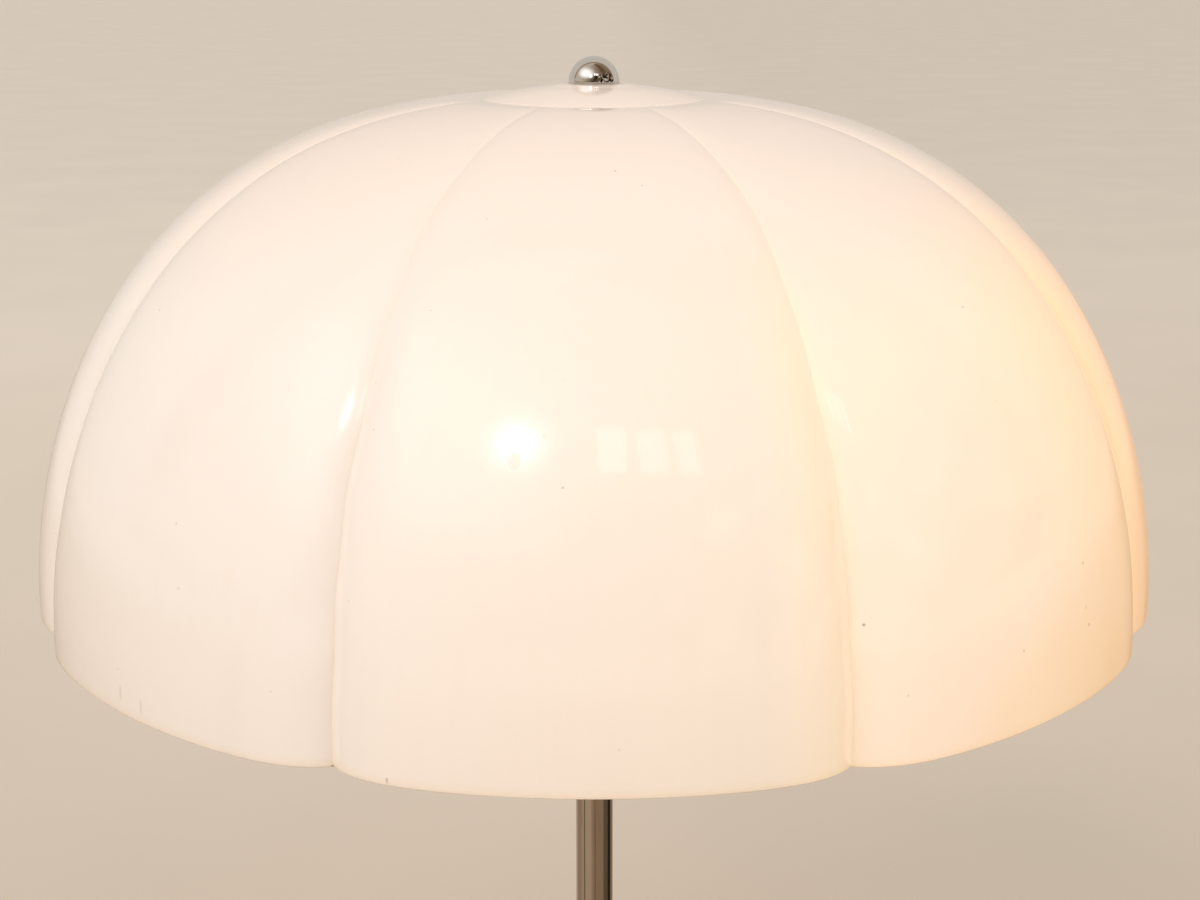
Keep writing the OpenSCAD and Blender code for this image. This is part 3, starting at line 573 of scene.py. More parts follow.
@dataclass(frozen=True)
class Finish:
    """A plain finish: its colour, gloss, soil, scratches and grain.

    The colour turns towards soil in blotches, specks and hairlines. Scales count per metre,
    and grain, rings and scratches are heights in metres.
    """

    name: str
    colour: Colour
    soil: Colour
    roughness: float
    roughness_spread: float = 0.08
    metallic: float = 0.0
    ior: float = 1.45
    coat: float = 0.0
    blotch_scale: float = 45.0
    blotch_share: float = 0.12
    speck_scale: float = 260.0
    speck_size: float = 0.1
    speck_rarity: float = 0.75
    speck_share: float = 0.3
    line_scale: float = 60.0
    line_share: float = 0.25
    line_depth: float = 0.00002
    grain_scale: float = 900.0
    grain: float = 0.0
    rings_axis: Place | None = None
    rings_scale: float = 1500.0
    rings: float = 0.0

    def build(self, effects: Effects) -> bpy.types.Material:
        """Builds the material.

        Args:
            effects: The shared shader effects.

        Returns:
            The finished material.
        """
        surface = Surface(self.name)
        blotches = surface.mask(effects.blotches, Scale=self.blotch_scale)
        specks = surface.mask(effects.specks, Scale=self.speck_scale, Size=self.speck_size,
                              Rare=self.speck_rarity)
        lines = surface.mask(effects.hairlines, Scale=self.line_scale)
        worn = surface.product(blotches, self.blotch_share)
        worn = surface.math("ADD", worn, surface.product(specks, self.speck_share))
        worn = surface.math("ADD", worn, surface.product(lines, self.line_share), clamp=True)
        height = surface.product(surface.noise(surface.place, self.grain_scale), self.grain)
        height = surface.math("SUBTRACT", height, surface.product(lines, self.line_depth))
        if self.rings_axis is not None:
            rings = surface.mask(effects.turning, Axis=self.rings_axis, Scale=self.rings_scale)
            height = surface.math("ADD", height, surface.product(rings, self.rings))
        surface.bump(height)
        surface.feed(surface.shader, {
            "Base Color": surface.blend(worn, solid(self.colour), solid(self.soil)),
            "Roughness": surface.uneven(surface.math("MAXIMUM", blotches, lines), self.roughness,
                                        self.roughness_spread),
            "Metallic": self.metallic,
            "IOR": self.ior,
            "Coat Weight": self.coat,
        })
        return surface.material


@dataclass(frozen=True)
class OpalAcrylic:
    """Glossy opal acrylic with the warm glow of the right bulb behind it, and the marks of long use.

    The glow is painted in the emission: it starts sharply at one seam and reddens towards the lamp's right side.
    The base colour is painted too, by azimuth, with light and shade: pale on the left, darker and oranger on the
    right, with painted shade on the top, painted light along the seams and a painted warm patch near the right rim.
    """

    name: str = "opal_acrylic"
    lobe_angle: float = math.radians(45.0)
    rim_z: float = 0.4125
    top_z: float = 0.664
    roughness: float = 0.035
    ior: float = 1.49
    haze: float = 0.12
    haze_roughness: float = 0.17
    bright: float = 1.0
    # Base colour by azimuth with painted light and shade: pale on the left, darker and oranger towards the right,
    # and a painted warm line at the right seam.
    colours: tuple[tuple[float, Colour], ...] = (
        (-180.0, (0.84, 0.76, 0.69)),
        (-60.0, (0.84, 0.765, 0.70)),
        (-21.0, (0.84, 0.76, 0.70)),
        (15.0, (0.84, 0.745, 0.65)),
        (21.8, (0.86, 0.74, 0.58)),
        (23.0, (0.84, 0.73, 0.63)),
        (40.0, (0.84, 0.725, 0.61)),
        (55.0, (0.84, 0.69, 0.51)),
        (67.0, (0.84, 0.665, 0.46)),
        (100.0, (0.82, 0.62, 0.42)),
        (135.0, (0.84, 0.74, 0.64)),
        (180.0, (0.84, 0.76, 0.69)),
    )
    # Painted glow of the bulb by azimuth, in the emission.
    glows: tuple[tuple[float, Colour], ...] = (
        (-180.0, (0.04, 0.03, 0.02)),
        (-25.0, (0.045, 0.035, 0.03)),
        (-22.0, (0.055, 0.04, 0.03)),
        (14.0, (0.075, 0.045, 0.025)),
        (22.0, (0.17, 0.105, 0.05)),
        (23.0, (0.18, 0.105, 0.055)),
        (40.0, (0.22, 0.125, 0.065)),
        (60.0, (0.28, 0.14, 0.06)),
        (75.0, (0.29, 0.13, 0.05)),
        (100.0, (0.29, 0.125, 0.035)),
        (135.0, (0.08, 0.05, 0.02)),
        (180.0, (0.04, 0.03, 0.02)),
    )
    # Painted light along the seams: a warm tint and a glow, weaker on the left.
    seam_band: tuple[float, float] = (0.482, 0.499)
    seam_left_share: float = 0.45
    seam_share: float = 0.2
    painted_seam_light_colour: Colour = (0.86, 0.775, 0.62)
    seam_glow_share: float = 0.35
    seam_glow: Colour = (0.12, 0.085, 0.035)
    # Painted shade on the top of the dome: a darker, pinker colour and less glow there.
    upper_from: float = 0.15
    painted_top_shade_colour: Colour = (0.84, 0.715, 0.635)
    painted_top_glow: Colour = (0.04, 0.025, 0.015)
    # Painted warm light near the rim on the right, below the lit bulb.
    warm_light_share: float = 0.3
    painted_warm_light_colour: Colour = (0.84, 0.64, 0.36)
    warm_light_at: Place = (0.204, -0.194, 0.414)
    warm_light_reach: Place = (0.085, 0.085, 0.055)
    blotch_scale: float = 9.0
    blotch_share: float = 0.05
    blotch_colour: Colour = (0.80, 0.66, 0.52)
    streak_scale: float = 170.0
    streak_stretch: Place = (1.0, 1.0, 0.04)
    streak_share: float = 0.05
    streak_colour: Colour = (0.80, 0.62, 0.44)
    edge_band: tuple[float, float] = (0.0055, 0.0005)
    edge_share: float = 0.25
    edge_colour: Colour = (0.78, 0.62, 0.38)
    dust_scale: float = 95.0
    dust_size: float = 0.045
    dust_rarity: float = 0.80
    dust_share: float = 0.55
    stain_colour: Colour = (0.22, 0.13, 0.06)
    film_scale: float = 34.0
    film_share: float = 0.4
    film_roughness: float = 0.12
    dull_roughness: float = 0.6
    wave_scale: float = 26.0
    wave_height: float = 0.00008
    line_scale: float = 22.0
    line_width: float = 0.004
    line_depth: float = 0.00001
    stains: tuple[tuple[Place, Place, float], ...] = (
        ((0.1066, -0.2455, 0.4712), (0.0009, 0.0009, 0.0009), 0.6),
        ((0.2096, -0.1763, 0.4740), (0.0010, 0.0010, 0.0010), 0.3),
        ((0.2133, -0.1787, 0.4470), (0.0010, 0.0010, 0.0010), 0.3),
        ((0.2113, -0.1794, 0.4551), (0.0018, 0.0018, 0.0012), 0.12),
        ((-0.2009, -0.1950, 0.4223), (0.0011, 0.0011, 0.0050), 0.15),
        ((-0.1897, -0.2058, 0.4200), (0.0011, 0.0011, 0.0045), 0.15),
        ((-0.1033, -0.2494, 0.4128), (0.0016, 0.0016, 0.0010), 0.6),
        ((-0.0800, -0.2674, 0.4150), (0.0008, 0.0012, 0.0016), 0.35),
    )
    dull_spots: tuple[tuple[Place, Place], ...] = (
        ((-0.0297, -0.2498, 0.5385), (0.0038, 0.0070, 0.0050)),
        ((-0.0181, -0.2459, 0.5479), (0.0020, 0.0050, 0.0024)),
    )

    def build(self, effects: Effects) -> bpy.types.Material:
        """Builds the material.

        Args:
            effects: The shared shader effects.

        Returns:
            The finished material.
        """
        surface = Surface(self.name)
        axes, azimuth, turn = surface.bearings(surface.place)
        # Painted light and shade in the base colour and the painted glow, both by azimuth.
        colour, glow = surface.by_azimuth(turn, self.colours), surface.by_azimuth(turn, self.glows)
        seam = self.seam(surface, axes[2], azimuth, turn)
        # Share of the painted shade on the top of the dome.
        upper = surface.spread(axes[2], self.rim_z + self.upper_from, self.top_z - 0.02, smooth=True)
        # Painted warm light near the right rim.
        painted_warm_light = surface.mask(effects.mark, Place=self.warm_light_at, Reach=self.warm_light_reach)
        blotches = surface.mask(effects.blotches, Scale=self.blotch_scale)
        edge_from, edge_to = self.edge_band
        edge = surface.spread(axes[2], self.rim_z + edge_from, self.rim_z + edge_to, smooth=True)
        for share, tint in (
                (upper, self.painted_top_shade_colour),
                (surface.product(painted_warm_light, self.warm_light_share), self.painted_warm_light_colour),
                # Painted light along the seams.
                (surface.product(seam, self.seam_share), self.painted_seam_light_colour),
                (surface.product(blotches, self.blotch_share), self.blotch_colour),
                (self.streaks(surface), self.streak_colour),
                (surface.product(edge, self.edge_share), self.edge_colour)):
            colour = surface.blend(share, colour, solid(tint))
        glow = surface.blend(upper, glow, solid(self.painted_top_glow))
        glow = surface.blend(surface.product(seam, self.seam_glow_share), glow, solid(self.seam_glow))
        marks = self.marks(surface, effects)
        lines = surface.mask(effects.hairlines, Scale=self.line_scale, Thin=self.line_width)
        waves = surface.product(surface.noise(surface.place, self.wave_scale, 1.0), self.wave_height)
        surface.bump(surface.math("SUBTRACT", waves, surface.product(lines, self.line_depth)))
        surface.feed(surface.shader, {
            "Base Color": surface.blend(marks, colour, solid(self.stain_colour)),
            "Emission Color": surface.blend(marks, glow, solid((0.0, 0.0, 0.0))),
            "Emission Strength": self.bright,
            "Roughness": self.dulled(surface, effects, lines),
            "IOR": self.ior,
            "Coat Weight": self.haze,
            "Coat Roughness": self.haze_roughness,
        })
        return surface.material

    def seam(self, surface: Surface, z: bpy.types.NodeSocket, azimuth: bpy.types.NodeSocket,
             turn: bpy.types.NodeSocket) -> bpy.types.NodeSocket:
        """Finds the seams between the lobes, where light is painted, weaker at the left and gone at the hub.

        Args:
            surface: The material.
            z: Height over the floor.
            azimuth: Azimuth in radians.
            turn: Azimuth as a share from 0 to 1.

        Returns:
            The mask.
        """
        lobe = surface.math("FRACT", surface.math("MULTIPLY_ADD", turn, math.tau / self.lobe_angle, 0.5))
        off = surface.math("ABSOLUTE", surface.math("SUBTRACT", lobe, 0.5))
        seam = surface.spread(off, *self.seam_band, smooth=True)
        seam = surface.product(seam, surface.spread(z, self.top_z - 0.004, self.top_z - 0.02))
        return surface.product(seam, surface.spread(azimuth, -0.35, 0.35, self.seam_left_share, 1.0))

    def streaks(self, surface: Surface) -> bpy.types.NodeSocket:
        """Makes faint upright streaks, as drips leave them.

        Args:
            surface: The material.

        Returns:
            The mask, already weak enough to be a share.
        """
        drawn = surface.add("Mapping", inputs={"Vector": surface.place, "Scale": self.streak_stretch})
        noise = surface.noise(drawn.outputs[0], self.streak_scale, 2.0)
        return surface.spread(noise, 0.45, 0.75, 0.0, self.streak_share)

    def marks(self, surface: Surface, effects: Effects) -> bpy.types.NodeSocket:
        """Makes scattered dust and the single stains.

        Args:
            surface: The material.
            effects: The shared shader effects.

        Returns:
            The mask.
        """
        dust = surface.mask(effects.specks, Scale=self.dust_scale, Size=self.dust_size, Rare=self.dust_rarity)
        marks = surface.product(dust, self.dust_share)
        for centre, reach, strength in self.stains:
            spot = surface.mask(effects.mark, Place=centre, Reach=reach)
            marks = surface.math("MAXIMUM", marks, surface.product(spot, strength))
        return marks

    def dulled(self, surface: Surface, effects: Effects, lines: bpy.types.NodeSocket) -> bpy.types.NodeSocket:
        """Makes the gloss uneven, with a film, hairlines and the dull spots.

        Args:
            surface: The material.
            effects: The shared shader effects.
            lines: The mask of the hairlines.

        Returns:
            The roughness.
        """
        film = surface.product(surface.mask(effects.blotches, Scale=self.film_scale), self.film_share)
        rough = surface.uneven(surface.math("MAXIMUM", film, lines), self.roughness, self.film_roughness)
        for centre, reach in self.dull_spots:
            spot = surface.mask(effects.mark, Place=centre, Reach=reach)
            rough = surface.math("MAXIMUM", rough, surface.product(spot, self.dull_roughness))
        return rough


@dataclass(frozen=True)
class LitGlass:
    """Frosted glass that glows, brightest round its filament."""

    name: str = "frosted_glass_lit"
    middle: Place = (0.144, 0.0, 0.530)
    reach: Place = (0.042, 0.036, 0.036)
    colour: Colour = (0.85, 0.80, 0.72)
    hot: Colour = (1.0, 0.86, 0.58)
    warm: Colour = (1.0, 0.60, 0.24)
    roughness: float = 0.45
    glow: float = 2.0
    dust: Colour = (0.62, 0.52, 0.40)
    dust_share: float = 0.3
    film_scale: float = 60.0
    film_roughness: float = 0.12
    grain_scale: float = 1700.0
    grain: float = 0.00004

    def build(self, effects: Effects) -> bpy.types.Material:
        """Builds the material.

        Args:
            effects: The shared shader effects.

        Returns:
            The finished material.
        """
        surface = Surface(self.name)
        heart = surface.mask(effects.mark, Place=self.middle, Reach=self.reach)
        film = surface.mask(effects.blotches, Scale=self.film_scale)
        surface.bump(surface.product(surface.noise(surface.place, self.grain_scale), self.grain))
        surface.feed(surface.shader, {
            "Emission Color": surface.blend(heart, solid(self.warm), solid(self.hot)),
            "Emission Strength": self.glow,
            "Base Color": surface.blend(surface.product(film, self.dust_share), solid(self.colour),
                                        solid(self.dust)),
            "Roughness": surface.uneven(film, self.roughness, self.film_roughness),
        })
        return surface.material


@dataclass(frozen=True)
class ClearGlass:
    """Clear glass of a bulb's inner stem, with fine streaks."""

    name: str = "clear_glass"
    colour: Colour = (0.94, 0.96, 0.95)
    roughness: float = 0.03
    ior: float = 1.5
    dust: Colour = (0.80, 0.80, 0.74)
    dust_share: float = 0.2
    film_scale: float = 120.0
    film_roughness: float = 0.08
    line_scale: float = 90.0
    line_depth: float = 0.00002

    def build(self, effects: Effects) -> bpy.types.Material:
        """Builds the material.

        Args:
            effects: The shared shader effects.

        Returns:
            The finished material.
        """
        surface = Surface(self.name)
        film = surface.mask(effects.blotches, Scale=self.film_scale)
        lines = surface.mask(effects.hairlines, Scale=self.line_scale)
        surface.bump(surface.product(lines, self.line_depth))
        surface.feed(surface.shader, {
            "Base Color": surface.blend(surface.product(film, self.dust_share), solid(self.colour),
                                        solid(self.dust)),
            "Roughness": surface.uneven(film, self.roughness, self.film_roughness),
            "Transmission Weight": 1.0,
            "IOR": self.ior,
        })
        return surface.material


@dataclass
class Dresser:
    """Gives pieces their material, slot and body, and reports each one."""

    materials: dict[str, bpy.types.Material]
    bodies: dict[str, str]

    def dress(self, piece: bpy.types.Object, slot: str, body: str,
              replaces: Iterable[str] = ()) -> bpy.types.Object:
        """Finishes one new piece.

        Args:
            piece: The piece, with its place in its mesh.
            slot: The material slot that its finish comes from.
            body: The body that it moves with.
            replaces: The nodes that it stands for.

        Returns:
            The same piece.
        """
        Bench.clear()
        piece.data.materials.clear()
        piece.data.materials.append(self.materials[slot])
        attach(piece, body)
        nodes = list(replaces)
        if nodes:
            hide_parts(*nodes)
        LOG.info("%s: %s on %s, for %s", piece.name, slot, body, ", ".join(nodes) or "nothing")
        return piece

    def stand_in(self, piece: bpy.types.Object, slot: str, node: str) -> bpy.types.Object:
        """Finishes a piece that takes the place of one node, on that node's body.

        Args:
            piece: The piece, with its place in its mesh.
            slot: The material slot that its finish comes from.
            node: The node.

        Returns:
            The same piece.
        """
        return self.dress(piece, slot, self.bodies[node], [node])

    def turned(self, node: str, slot: str, name: str, outline: Outline, steps: int = 128,
               ring: bool = True) -> None:
        """Turns a round piece on the Z axis, smooths it and finishes it.

        Args:
            node: The node that it takes the place of.
            slot: The material slot that its finish comes from.
            name: Name of the new piece.
            outline: Radius and height of each point.
            steps: Number of steps round the axis.
            ring: True for a piece with a hole through it.
        """
        piece = Bench.lathe(name, outline, steps, ring)
        Bench.smooth(piece)
        self.stand_in(piece, slot, node)

    def keep(self, node: str, slot: str) -> None:
        """Gives a node that keeps its own shape the finish of a slot.

        Args:
            node: The node.
            slot: The material slot.
        """
        data = frame["nodes"][node].data
        if data.materials:
            for number in range(len(data.materials)):
                data.materials[number] = self.materials[slot]
        else:
            data.materials.append(self.materials[slot])
        LOG.info("%s: keeps its shape, %s", node, slot)


@dataclass
class Shade:
    """The one-piece acrylic shade: eight lobes, and a shallow hub above a crease."""

    width: float = 0.560
    wall: float = 0.003
    lobes: int = 8
    seam_depth: float = 0.010
    seam_top_depth: float = 0.0005
    seam_sharpness: float = 8.0
    seam_fade: float = 3.0
    skirt_h: float = 0.0044
    dome_h: float = 0.242
    dome_fullness: float = 2.9
    dome_crown: float = 1.94
    hub_r: float = 0.054
    hub_rise: float = 0.007
    hub_crease: float = 0.0007
    hole_r: float = 0.008
    land_r: float = 0.0145
    top_z: float = 0.664
    columns: int = 34
    dome_rows: int = 84
    waver: float = 0.0005
    rim_round: float = 0.0009
    ease_w: float = 0.024
    lip_h: float = 0.00018
    lip_w: float = 0.00035

    def __post_init__(self) -> None:
        """Works out the sizes that follow from the others."""
        self.valley_r = self.width / 2 - self.seam_depth
        self.hub_angle = math.asin((self.hub_r / self.valley_r) ** (self.dome_fullness / 2))
        edge_h = self.dome(self.hub_angle)[1] - self.hub_crease
        self.rim_z = self.top_z - edge_h - self.hub_rise
        self.ball_r = (self.hub_r ** 2 + self.hub_rise ** 2) / (2 * self.hub_rise)

    def dome(self, angle: float) -> tuple[float, float]:
        """Follows the valley line between two lobes.

        Args:
            angle: Angle from the crown in radians.

        Returns:
            Radius, and height over the rim.
        """
        radius = self.valley_r * math.sin(angle) ** (2 / self.dome_fullness)
        return radius, self.skirt_h + self.dome_h * max(math.cos(angle), 0.0) ** (2 / self.dome_crown)

    def outward(self, radius: float, height: float) -> tuple[float, float]:
        """Finds the way out of the dome at a point of the valley line.

        Args:
            radius: Radius of the point.
            height: Its height over the rim.

        Returns:
            The radial and the upward part of the direction.
        """
        out = self.dome_fullness / self.valley_r * (radius / self.valley_r) ** (self.dome_fullness - 1)
        share = max((height - self.skirt_h) / self.dome_h, 0.0)
        up = self.dome_crown / self.dome_h * share ** (self.dome_crown - 1)
        length = math.hypot(out, up)
        return out / length, up / length

    def hub_height(self, radius: float) -> float:
        """Finds the height of the hub, a ball cap that levels out under the finial.

        Args:
            radius: Radius of the point.

        Returns:
            Its height over the floor.
        """
        cap = self.top_z - self.ball_r + math.sqrt(self.ball_r ** 2 - radius ** 2)
        level = 1 - self.ease((radius - self.land_r + 0.002) / 0.009)
        return cap + (self.top_z - cap) * level

    def rows(self) -> list[tuple[str, float]]:
        """Lists the rings of the skin from the hole to the rim.

        Returns:
            The zone of each ring, with its radius, its angle or its height.
        """
        step = self.lip_w / 5
        found = [("hub", self.hole_r + (self.hub_r - step - self.hole_r) * i / 22) for i in range(23)]
        found += [("crease", self.hub_r + step * i) for i in range(8)]
        start = self.angle_at(self.hub_r + 10 * step)
        found += [("dome", start + (math.pi / 2 - start) * (i / self.dome_rows) ** 0.93)
                  for i in range(self.dome_rows + 1)]
        return found + [("skirt", self.skirt_h * share) for share in (0.5, 0.0)]

    @staticmethod
    def ease(share: float) -> float:
        """Rises smoothly from 0 to 1 as the share does, and stays there."""
        share = min(max(share, 0.0), 1.0)
        return share * share * (3 - 2 * share)

    def angle_at(self, radius: float) -> float:
        """Angle from the crown at which the valley line has a radius."""
        return math.asin((radius / self.valley_r) ** (self.dome_fullness / 2))

    def surface(self, zone: str, value: float, across: float) -> tuple[float, float, float]:
        """Finds one point of the outer surface, on the lobe that faces -Y.

        Args:
            zone: The zone of the ring.
            value: The ring's radius, angle or height.
            across: Place across the lobe, from -1 to 1.

        Returns:
            Radius, height over the floor, and angle from the lobe's middle.
        """
        lobe = math.copysign(1 - (1 - abs(across)) ** 1.6, across)
        swell = 1 - abs(lobe) ** self.seam_sharpness
        turn = lobe * math.pi / self.lobes
        if zone == "hub":
            return value, self.hub_height(value), turn
        if zone == "skirt":
            radius, height, out, up = self.valley_r, value, 1.0, 0.0
        else:
            angle = self.angle_at(value) if zone == "crease" else value
            radius, height = self.dome(angle)
            out, up = self.outward(radius, height)
        fade = (radius / self.valley_r) ** self.seam_fade
        push = (self.seam_top_depth + (self.seam_depth - self.seam_top_depth) * fade) * swell
        near = self.ease((radius - self.hub_r) / self.ease_w)
        push *= near
        height = self.rim_z + height + push * up
        height = (1 - near) * self.hub_height(self.hub_r) + near * height
        return radius + push * out, height, turn

    def build(self, dresser: Dresser) -> None:
        """Shapes one lobe from a grid, copies it round, gives it its wall and rounds its rim.

        Args:
            dresser: Gives it its finish.
        """
        rows = self.rows()
        Bench.clear()
        bpy.ops.mesh.primitive_grid_add(x_subdivisions=self.columns, y_subdivisions=len(rows) - 1, size=2.0)
        piece = Bench.named("shade_lobes")
        for vertex in piece.data.vertices:
            zone, value = rows[round((vertex.co.y + 1) / 2 * (len(rows) - 1))]
            radius, height, turn = self.surface(zone, value, vertex.co.x)
            vertex.co = (radius * math.sin(turn), -radius * math.cos(turn), height)
        Bench.copy_round(piece, self.lobes)
        Bench.seal(piece)
        self.waver_skin(piece)
        outside = len(piece.data.vertices)
        Bench.modify(piece, "SOLIDIFY", thickness=self.wall, offset=-1.0, use_quality_normals=True)
        self.press_lip(piece, outside)
        self.round_rim(piece)
        Bench.smooth(piece, 24.0)
        dresser.stand_in(piece, "opal_acrylic", "shade")

    def waver_skin(self, piece: bpy.types.Object) -> None:
        """Lets the surface wander by a fraction of a millimetre, as a hot-formed sheet does.

        Args:
            piece: The shade's outer skin.
        """
        for vertex in piece.data.vertices:
            x, y, z = vertex.co
            radius = math.hypot(x, y)
            turn = math.atan2(x, -y)
            share = min(max((radius - self.hub_r) / 0.05, 0.0), 1.0) * min((z - self.rim_z) / 0.05, 1.0)
            wave = math.sin(61.0 * z + 3.0 * turn) + 0.6 * math.sin(137.0 * z - 5.0 * turn)
            turn += self.waver * share * wave / max(radius, 0.05)
            vertex.co = (radius * math.sin(turn), -radius * math.cos(turn), z)

    def press_lip(self, piece: bpy.types.Object, count: int) -> None:
        """Presses the outside down just beyond the hub, which leaves a small rounded lip round it.

        Args:
            piece: The shade with its wall.
            count: Number of vertices of its outside, which come first.
        """
        for vertex in list(piece.data.vertices)[:count]:
            beyond = math.hypot(vertex.co.x, vertex.co.y) - self.hub_r
            if beyond < 0.03:
                down = self.ease(beyond / self.lip_w) * (1 - self.ease((beyond - self.lip_w) / 0.014))
                vertex.co.z -= self.lip_h * down

    def round_rim(self, piece: bpy.types.Object) -> None:
        """Rounds the two edges of the rim, as flame polishing leaves them.

        Args:
            piece: The shade with its wall.
        """
        Bench.edit(piece, (False, True, False))
        bpy.ops.mesh.select_all(action="DESELECT")
        bpy.ops.object.mode_set(mode="OBJECT")
        low = self.rim_z + 1e-5
        mesh = piece.data
        faces = {edge: 0 for edge in range(len(mesh.edges))}
        keys = {tuple(sorted(edge.vertices)): edge.index for edge in mesh.edges}
        for polygon in mesh.polygons:
            if all(mesh.vertices[v].co.z < low for v in polygon.vertices):
                for key in polygon.edge_keys:
                    faces[keys[tuple(sorted(key))]] += 1
        for index, count in faces.items():
            mesh.edges[index].select = count == 1
        bpy.ops.object.mode_set(mode="EDIT")
        bpy.ops.mesh.bevel(offset=self.rim_round, segments=3, affect="EDGES")
        bpy.ops.object.mode_set(mode="OBJECT")


@dataclass
class Base:
    """The felt, the spun shell and the lead inlet; the weight and its nut keep their frame shapes."""

    width: float = 0.280
    felt_h: float = 0.002
    felt_inset: float = 0.002
    side_h: float = 0.014
    shoulder_r: float = 0.008
    top_z: float = 0.032
    land_r: float = 0.025
    land_ease: float = 0.004
    land_dip: float = 0.0002
    wall: float = 0.0012
    lip_w: float = 0.008
    hole_r: float = 0.0051
    inlet_z: float = 0.0096
    inlet_r: float = 0.005
    inlet_bore_r: float = 0.0036
    flange_r: float = 0.0066
    flange_h: float = 0.0018
    inlet_tail: float = 0.006
    snug: float = 0.00005

    def skin(self, inset: float, steps: int) -> Outline:
        """Draws the shell from its side to the land round the stem.

        Args:
            inset: Distance inwards from the outside.
            steps: Number of steps round the shoulder.

        Returns:
            Radius and height of each point.
        """
        radius, land = self.shoulder_r - inset, self.land_r + self.land_ease
        middle = (self.width / 2 - self.shoulder_r, self.felt_h + self.side_h)
        arc = Bench.arc(middle, (radius, radius), 0, 90, steps)
        end_r, end_z = arc[-1]
        level, dip = self.top_z - inset, self.land_dip
        cone = [(end_r + (land - end_r) * t, end_z + (level - dip - end_z) * t)
                for t in (0.012, 0.04, 0.25, 0.5, 0.75, 1.0)]
        soft = [(land - self.land_ease * t, level - dip * (1 - t) ** 2) for t in (0.5, 1.0)]
        return [*arc, *cone, *soft]

    def build(self, dresser: Dresser) -> None:
        """Turns the felt, the shell and the inlet.

        Args:
            dresser: Gives them their finish.
        """
        edge = self.width / 2 - self.felt_inset
        dresser.turned("felt_pad", "felt", "foot_felt", [
            (0.0, 0.0), (edge - 0.0004, 0.0), (edge, 0.0004), (edge, self.felt_h - EDGE),
            (edge - EDGE, self.felt_h), (0.0, self.felt_h)], 96, ring=False)
        self.build_shell(dresser)
        self.build_inlet(dresser)

    def build_shell(self, dresser: Dresser) -> None:
        """Spins the shell from one sheet with its turned-in lip, and drills it for the inlet.

        Args:
            dresser: Gives it its finish.
        """
        half, low, lip = self.width / 2, self.felt_h, self.width / 2 - self.lip_w
        outer = [(lip, low), (half - 0.0006, low), (half - FINE_EDGE, low + FINE_EDGE), (half, low + 0.0006)]
        outer += [*self.skin(0.0, 16), (self.hole_r, self.top_z)]
        inner = [(half - self.wall, low + self.wall), *self.skin(self.wall, 12),
                 (self.hole_r, self.top_z - self.wall)]
        outline = outer + inner[::-1] + [(lip, low + self.wall)]
        shell = Bench.lathe("foot_shell", outline, steps=160, ring=True)
        Bench.drill(shell, self.inlet_r + self.snug, 0.02, (0.0, half, self.inlet_z), (math.pi / 2, 0.0, 0.0))
        Bench.smooth(shell, 28.0)
        dresser.stand_in(shell, "chrome", "base_shell")

    def build_inlet(self, dresser: Dresser) -> None:
        """Turns the snap-in inlet and lays it through the rear of the shell.

        Args:
            dresser: Gives it its finish.
        """
        side = self.width / 2
        back, front = side - self.wall - self.inlet_tail, side + self.flange_h
        barb = side - self.wall - 0.0018
        bore, body, flange = self.inlet_bore_r, self.inlet_r, self.flange_r
        outline = [
            (bore + EDGE, back), (body - EDGE, back), (body, back + EDGE), (body, barb),
            (body + 0.0006, barb + 0.0015), (body, barb + 0.0015), (body, side + self.snug),
            (flange, side + self.snug), (flange, front - 0.0007), (flange - FINE_EDGE, front - FINE_EDGE),
            (flange - 0.0007, front), (bore + 0.0008, front), (bore + FINE_EDGE, front - EDGE),
            (bore, front - 0.0009), (bore, back + EDGE)]
        inlet = Bench.lathe("lead_inlet", outline, steps=64, ring=True)
        inlet.rotation_euler = (-math.pi / 2, 0.0, 0.0)
        inlet.location = (0.0, 0.0, self.inlet_z)
        Bench.settle(inlet)
        Bench.smooth(inlet)
        dresser.stand_in(inlet, "black_plastic", "inlet_bushing")


@dataclass
class Stem:
    """The plated tube between its collar on the base and its cap under the cluster."""

    low_z: float = 0.032
    collar_h: float = 0.014
    foot_r: float = 0.020
    grip_r: float = 0.01005
    sleeve_r: float = 0.0125
    tube_r: float = 0.010
    tube_wall: float = 0.0012
    tube_z: float = 0.037
    tube_top_z: float = 0.513
    cap_grip: float = 0.006
    cap_floor: float = 0.004
    rod_hole_r: float = 0.0051

    def build(self, dresser: Dresser) -> None:
        """Turns the tube, the coved collar and the cap.

        Args:
            dresser: Gives them their finish.
        """
        radius, bore, cut = self.tube_r, self.tube_r - self.tube_wall, EDGE
        low, top = self.tube_z, self.tube_top_z
        levels = [low + cut + (top - low - 2 * cut) * i / 24 for i in range(25)]
        dresser.turned("stem_tube", "chrome", "long_tube", [
            (bore, low), (radius - cut, low), *((radius, z) for z in levels), (radius - cut, top),
            (bore, top)])
        low, rise = self.low_z, self.collar_h - 0.003
        cove = Bench.arc((self.foot_r, low + 0.0015 + rise), (self.foot_r - self.sleeve_r, rise),
                         270, 180, 14)
        dresser.turned("stem_collar", "chrome", "foot_collar", [
            (self.rod_hole_r, low), (self.foot_r - cut, low), (self.foot_r, low + cut), *cove,
            (self.sleeve_r, low + self.collar_h - 0.0004), (self.sleeve_r - 0.0004, low + self.collar_h),
            (self.grip_r, low + self.collar_h), (self.grip_r, self.tube_z), (self.rod_hole_r, self.tube_z)])
        low, top, corner = self.tube_top_z - self.cap_grip, self.tube_top_z + self.cap_floor, 0.001
        round_in = Bench.arc((self.sleeve_r - corner, low + corner), (corner, corner), -90, 0, 4)
        dresser.turned("stem_cap", "chrome", "tube_cap", [
            (self.grip_r, low), *round_in, (self.sleeve_r, top - cut), (self.sleeve_r - cut, top),
            (self.rod_hole_r, top), (self.rod_hole_r, self.tube_top_z), (self.grip_r, self.tube_top_z)], 96)


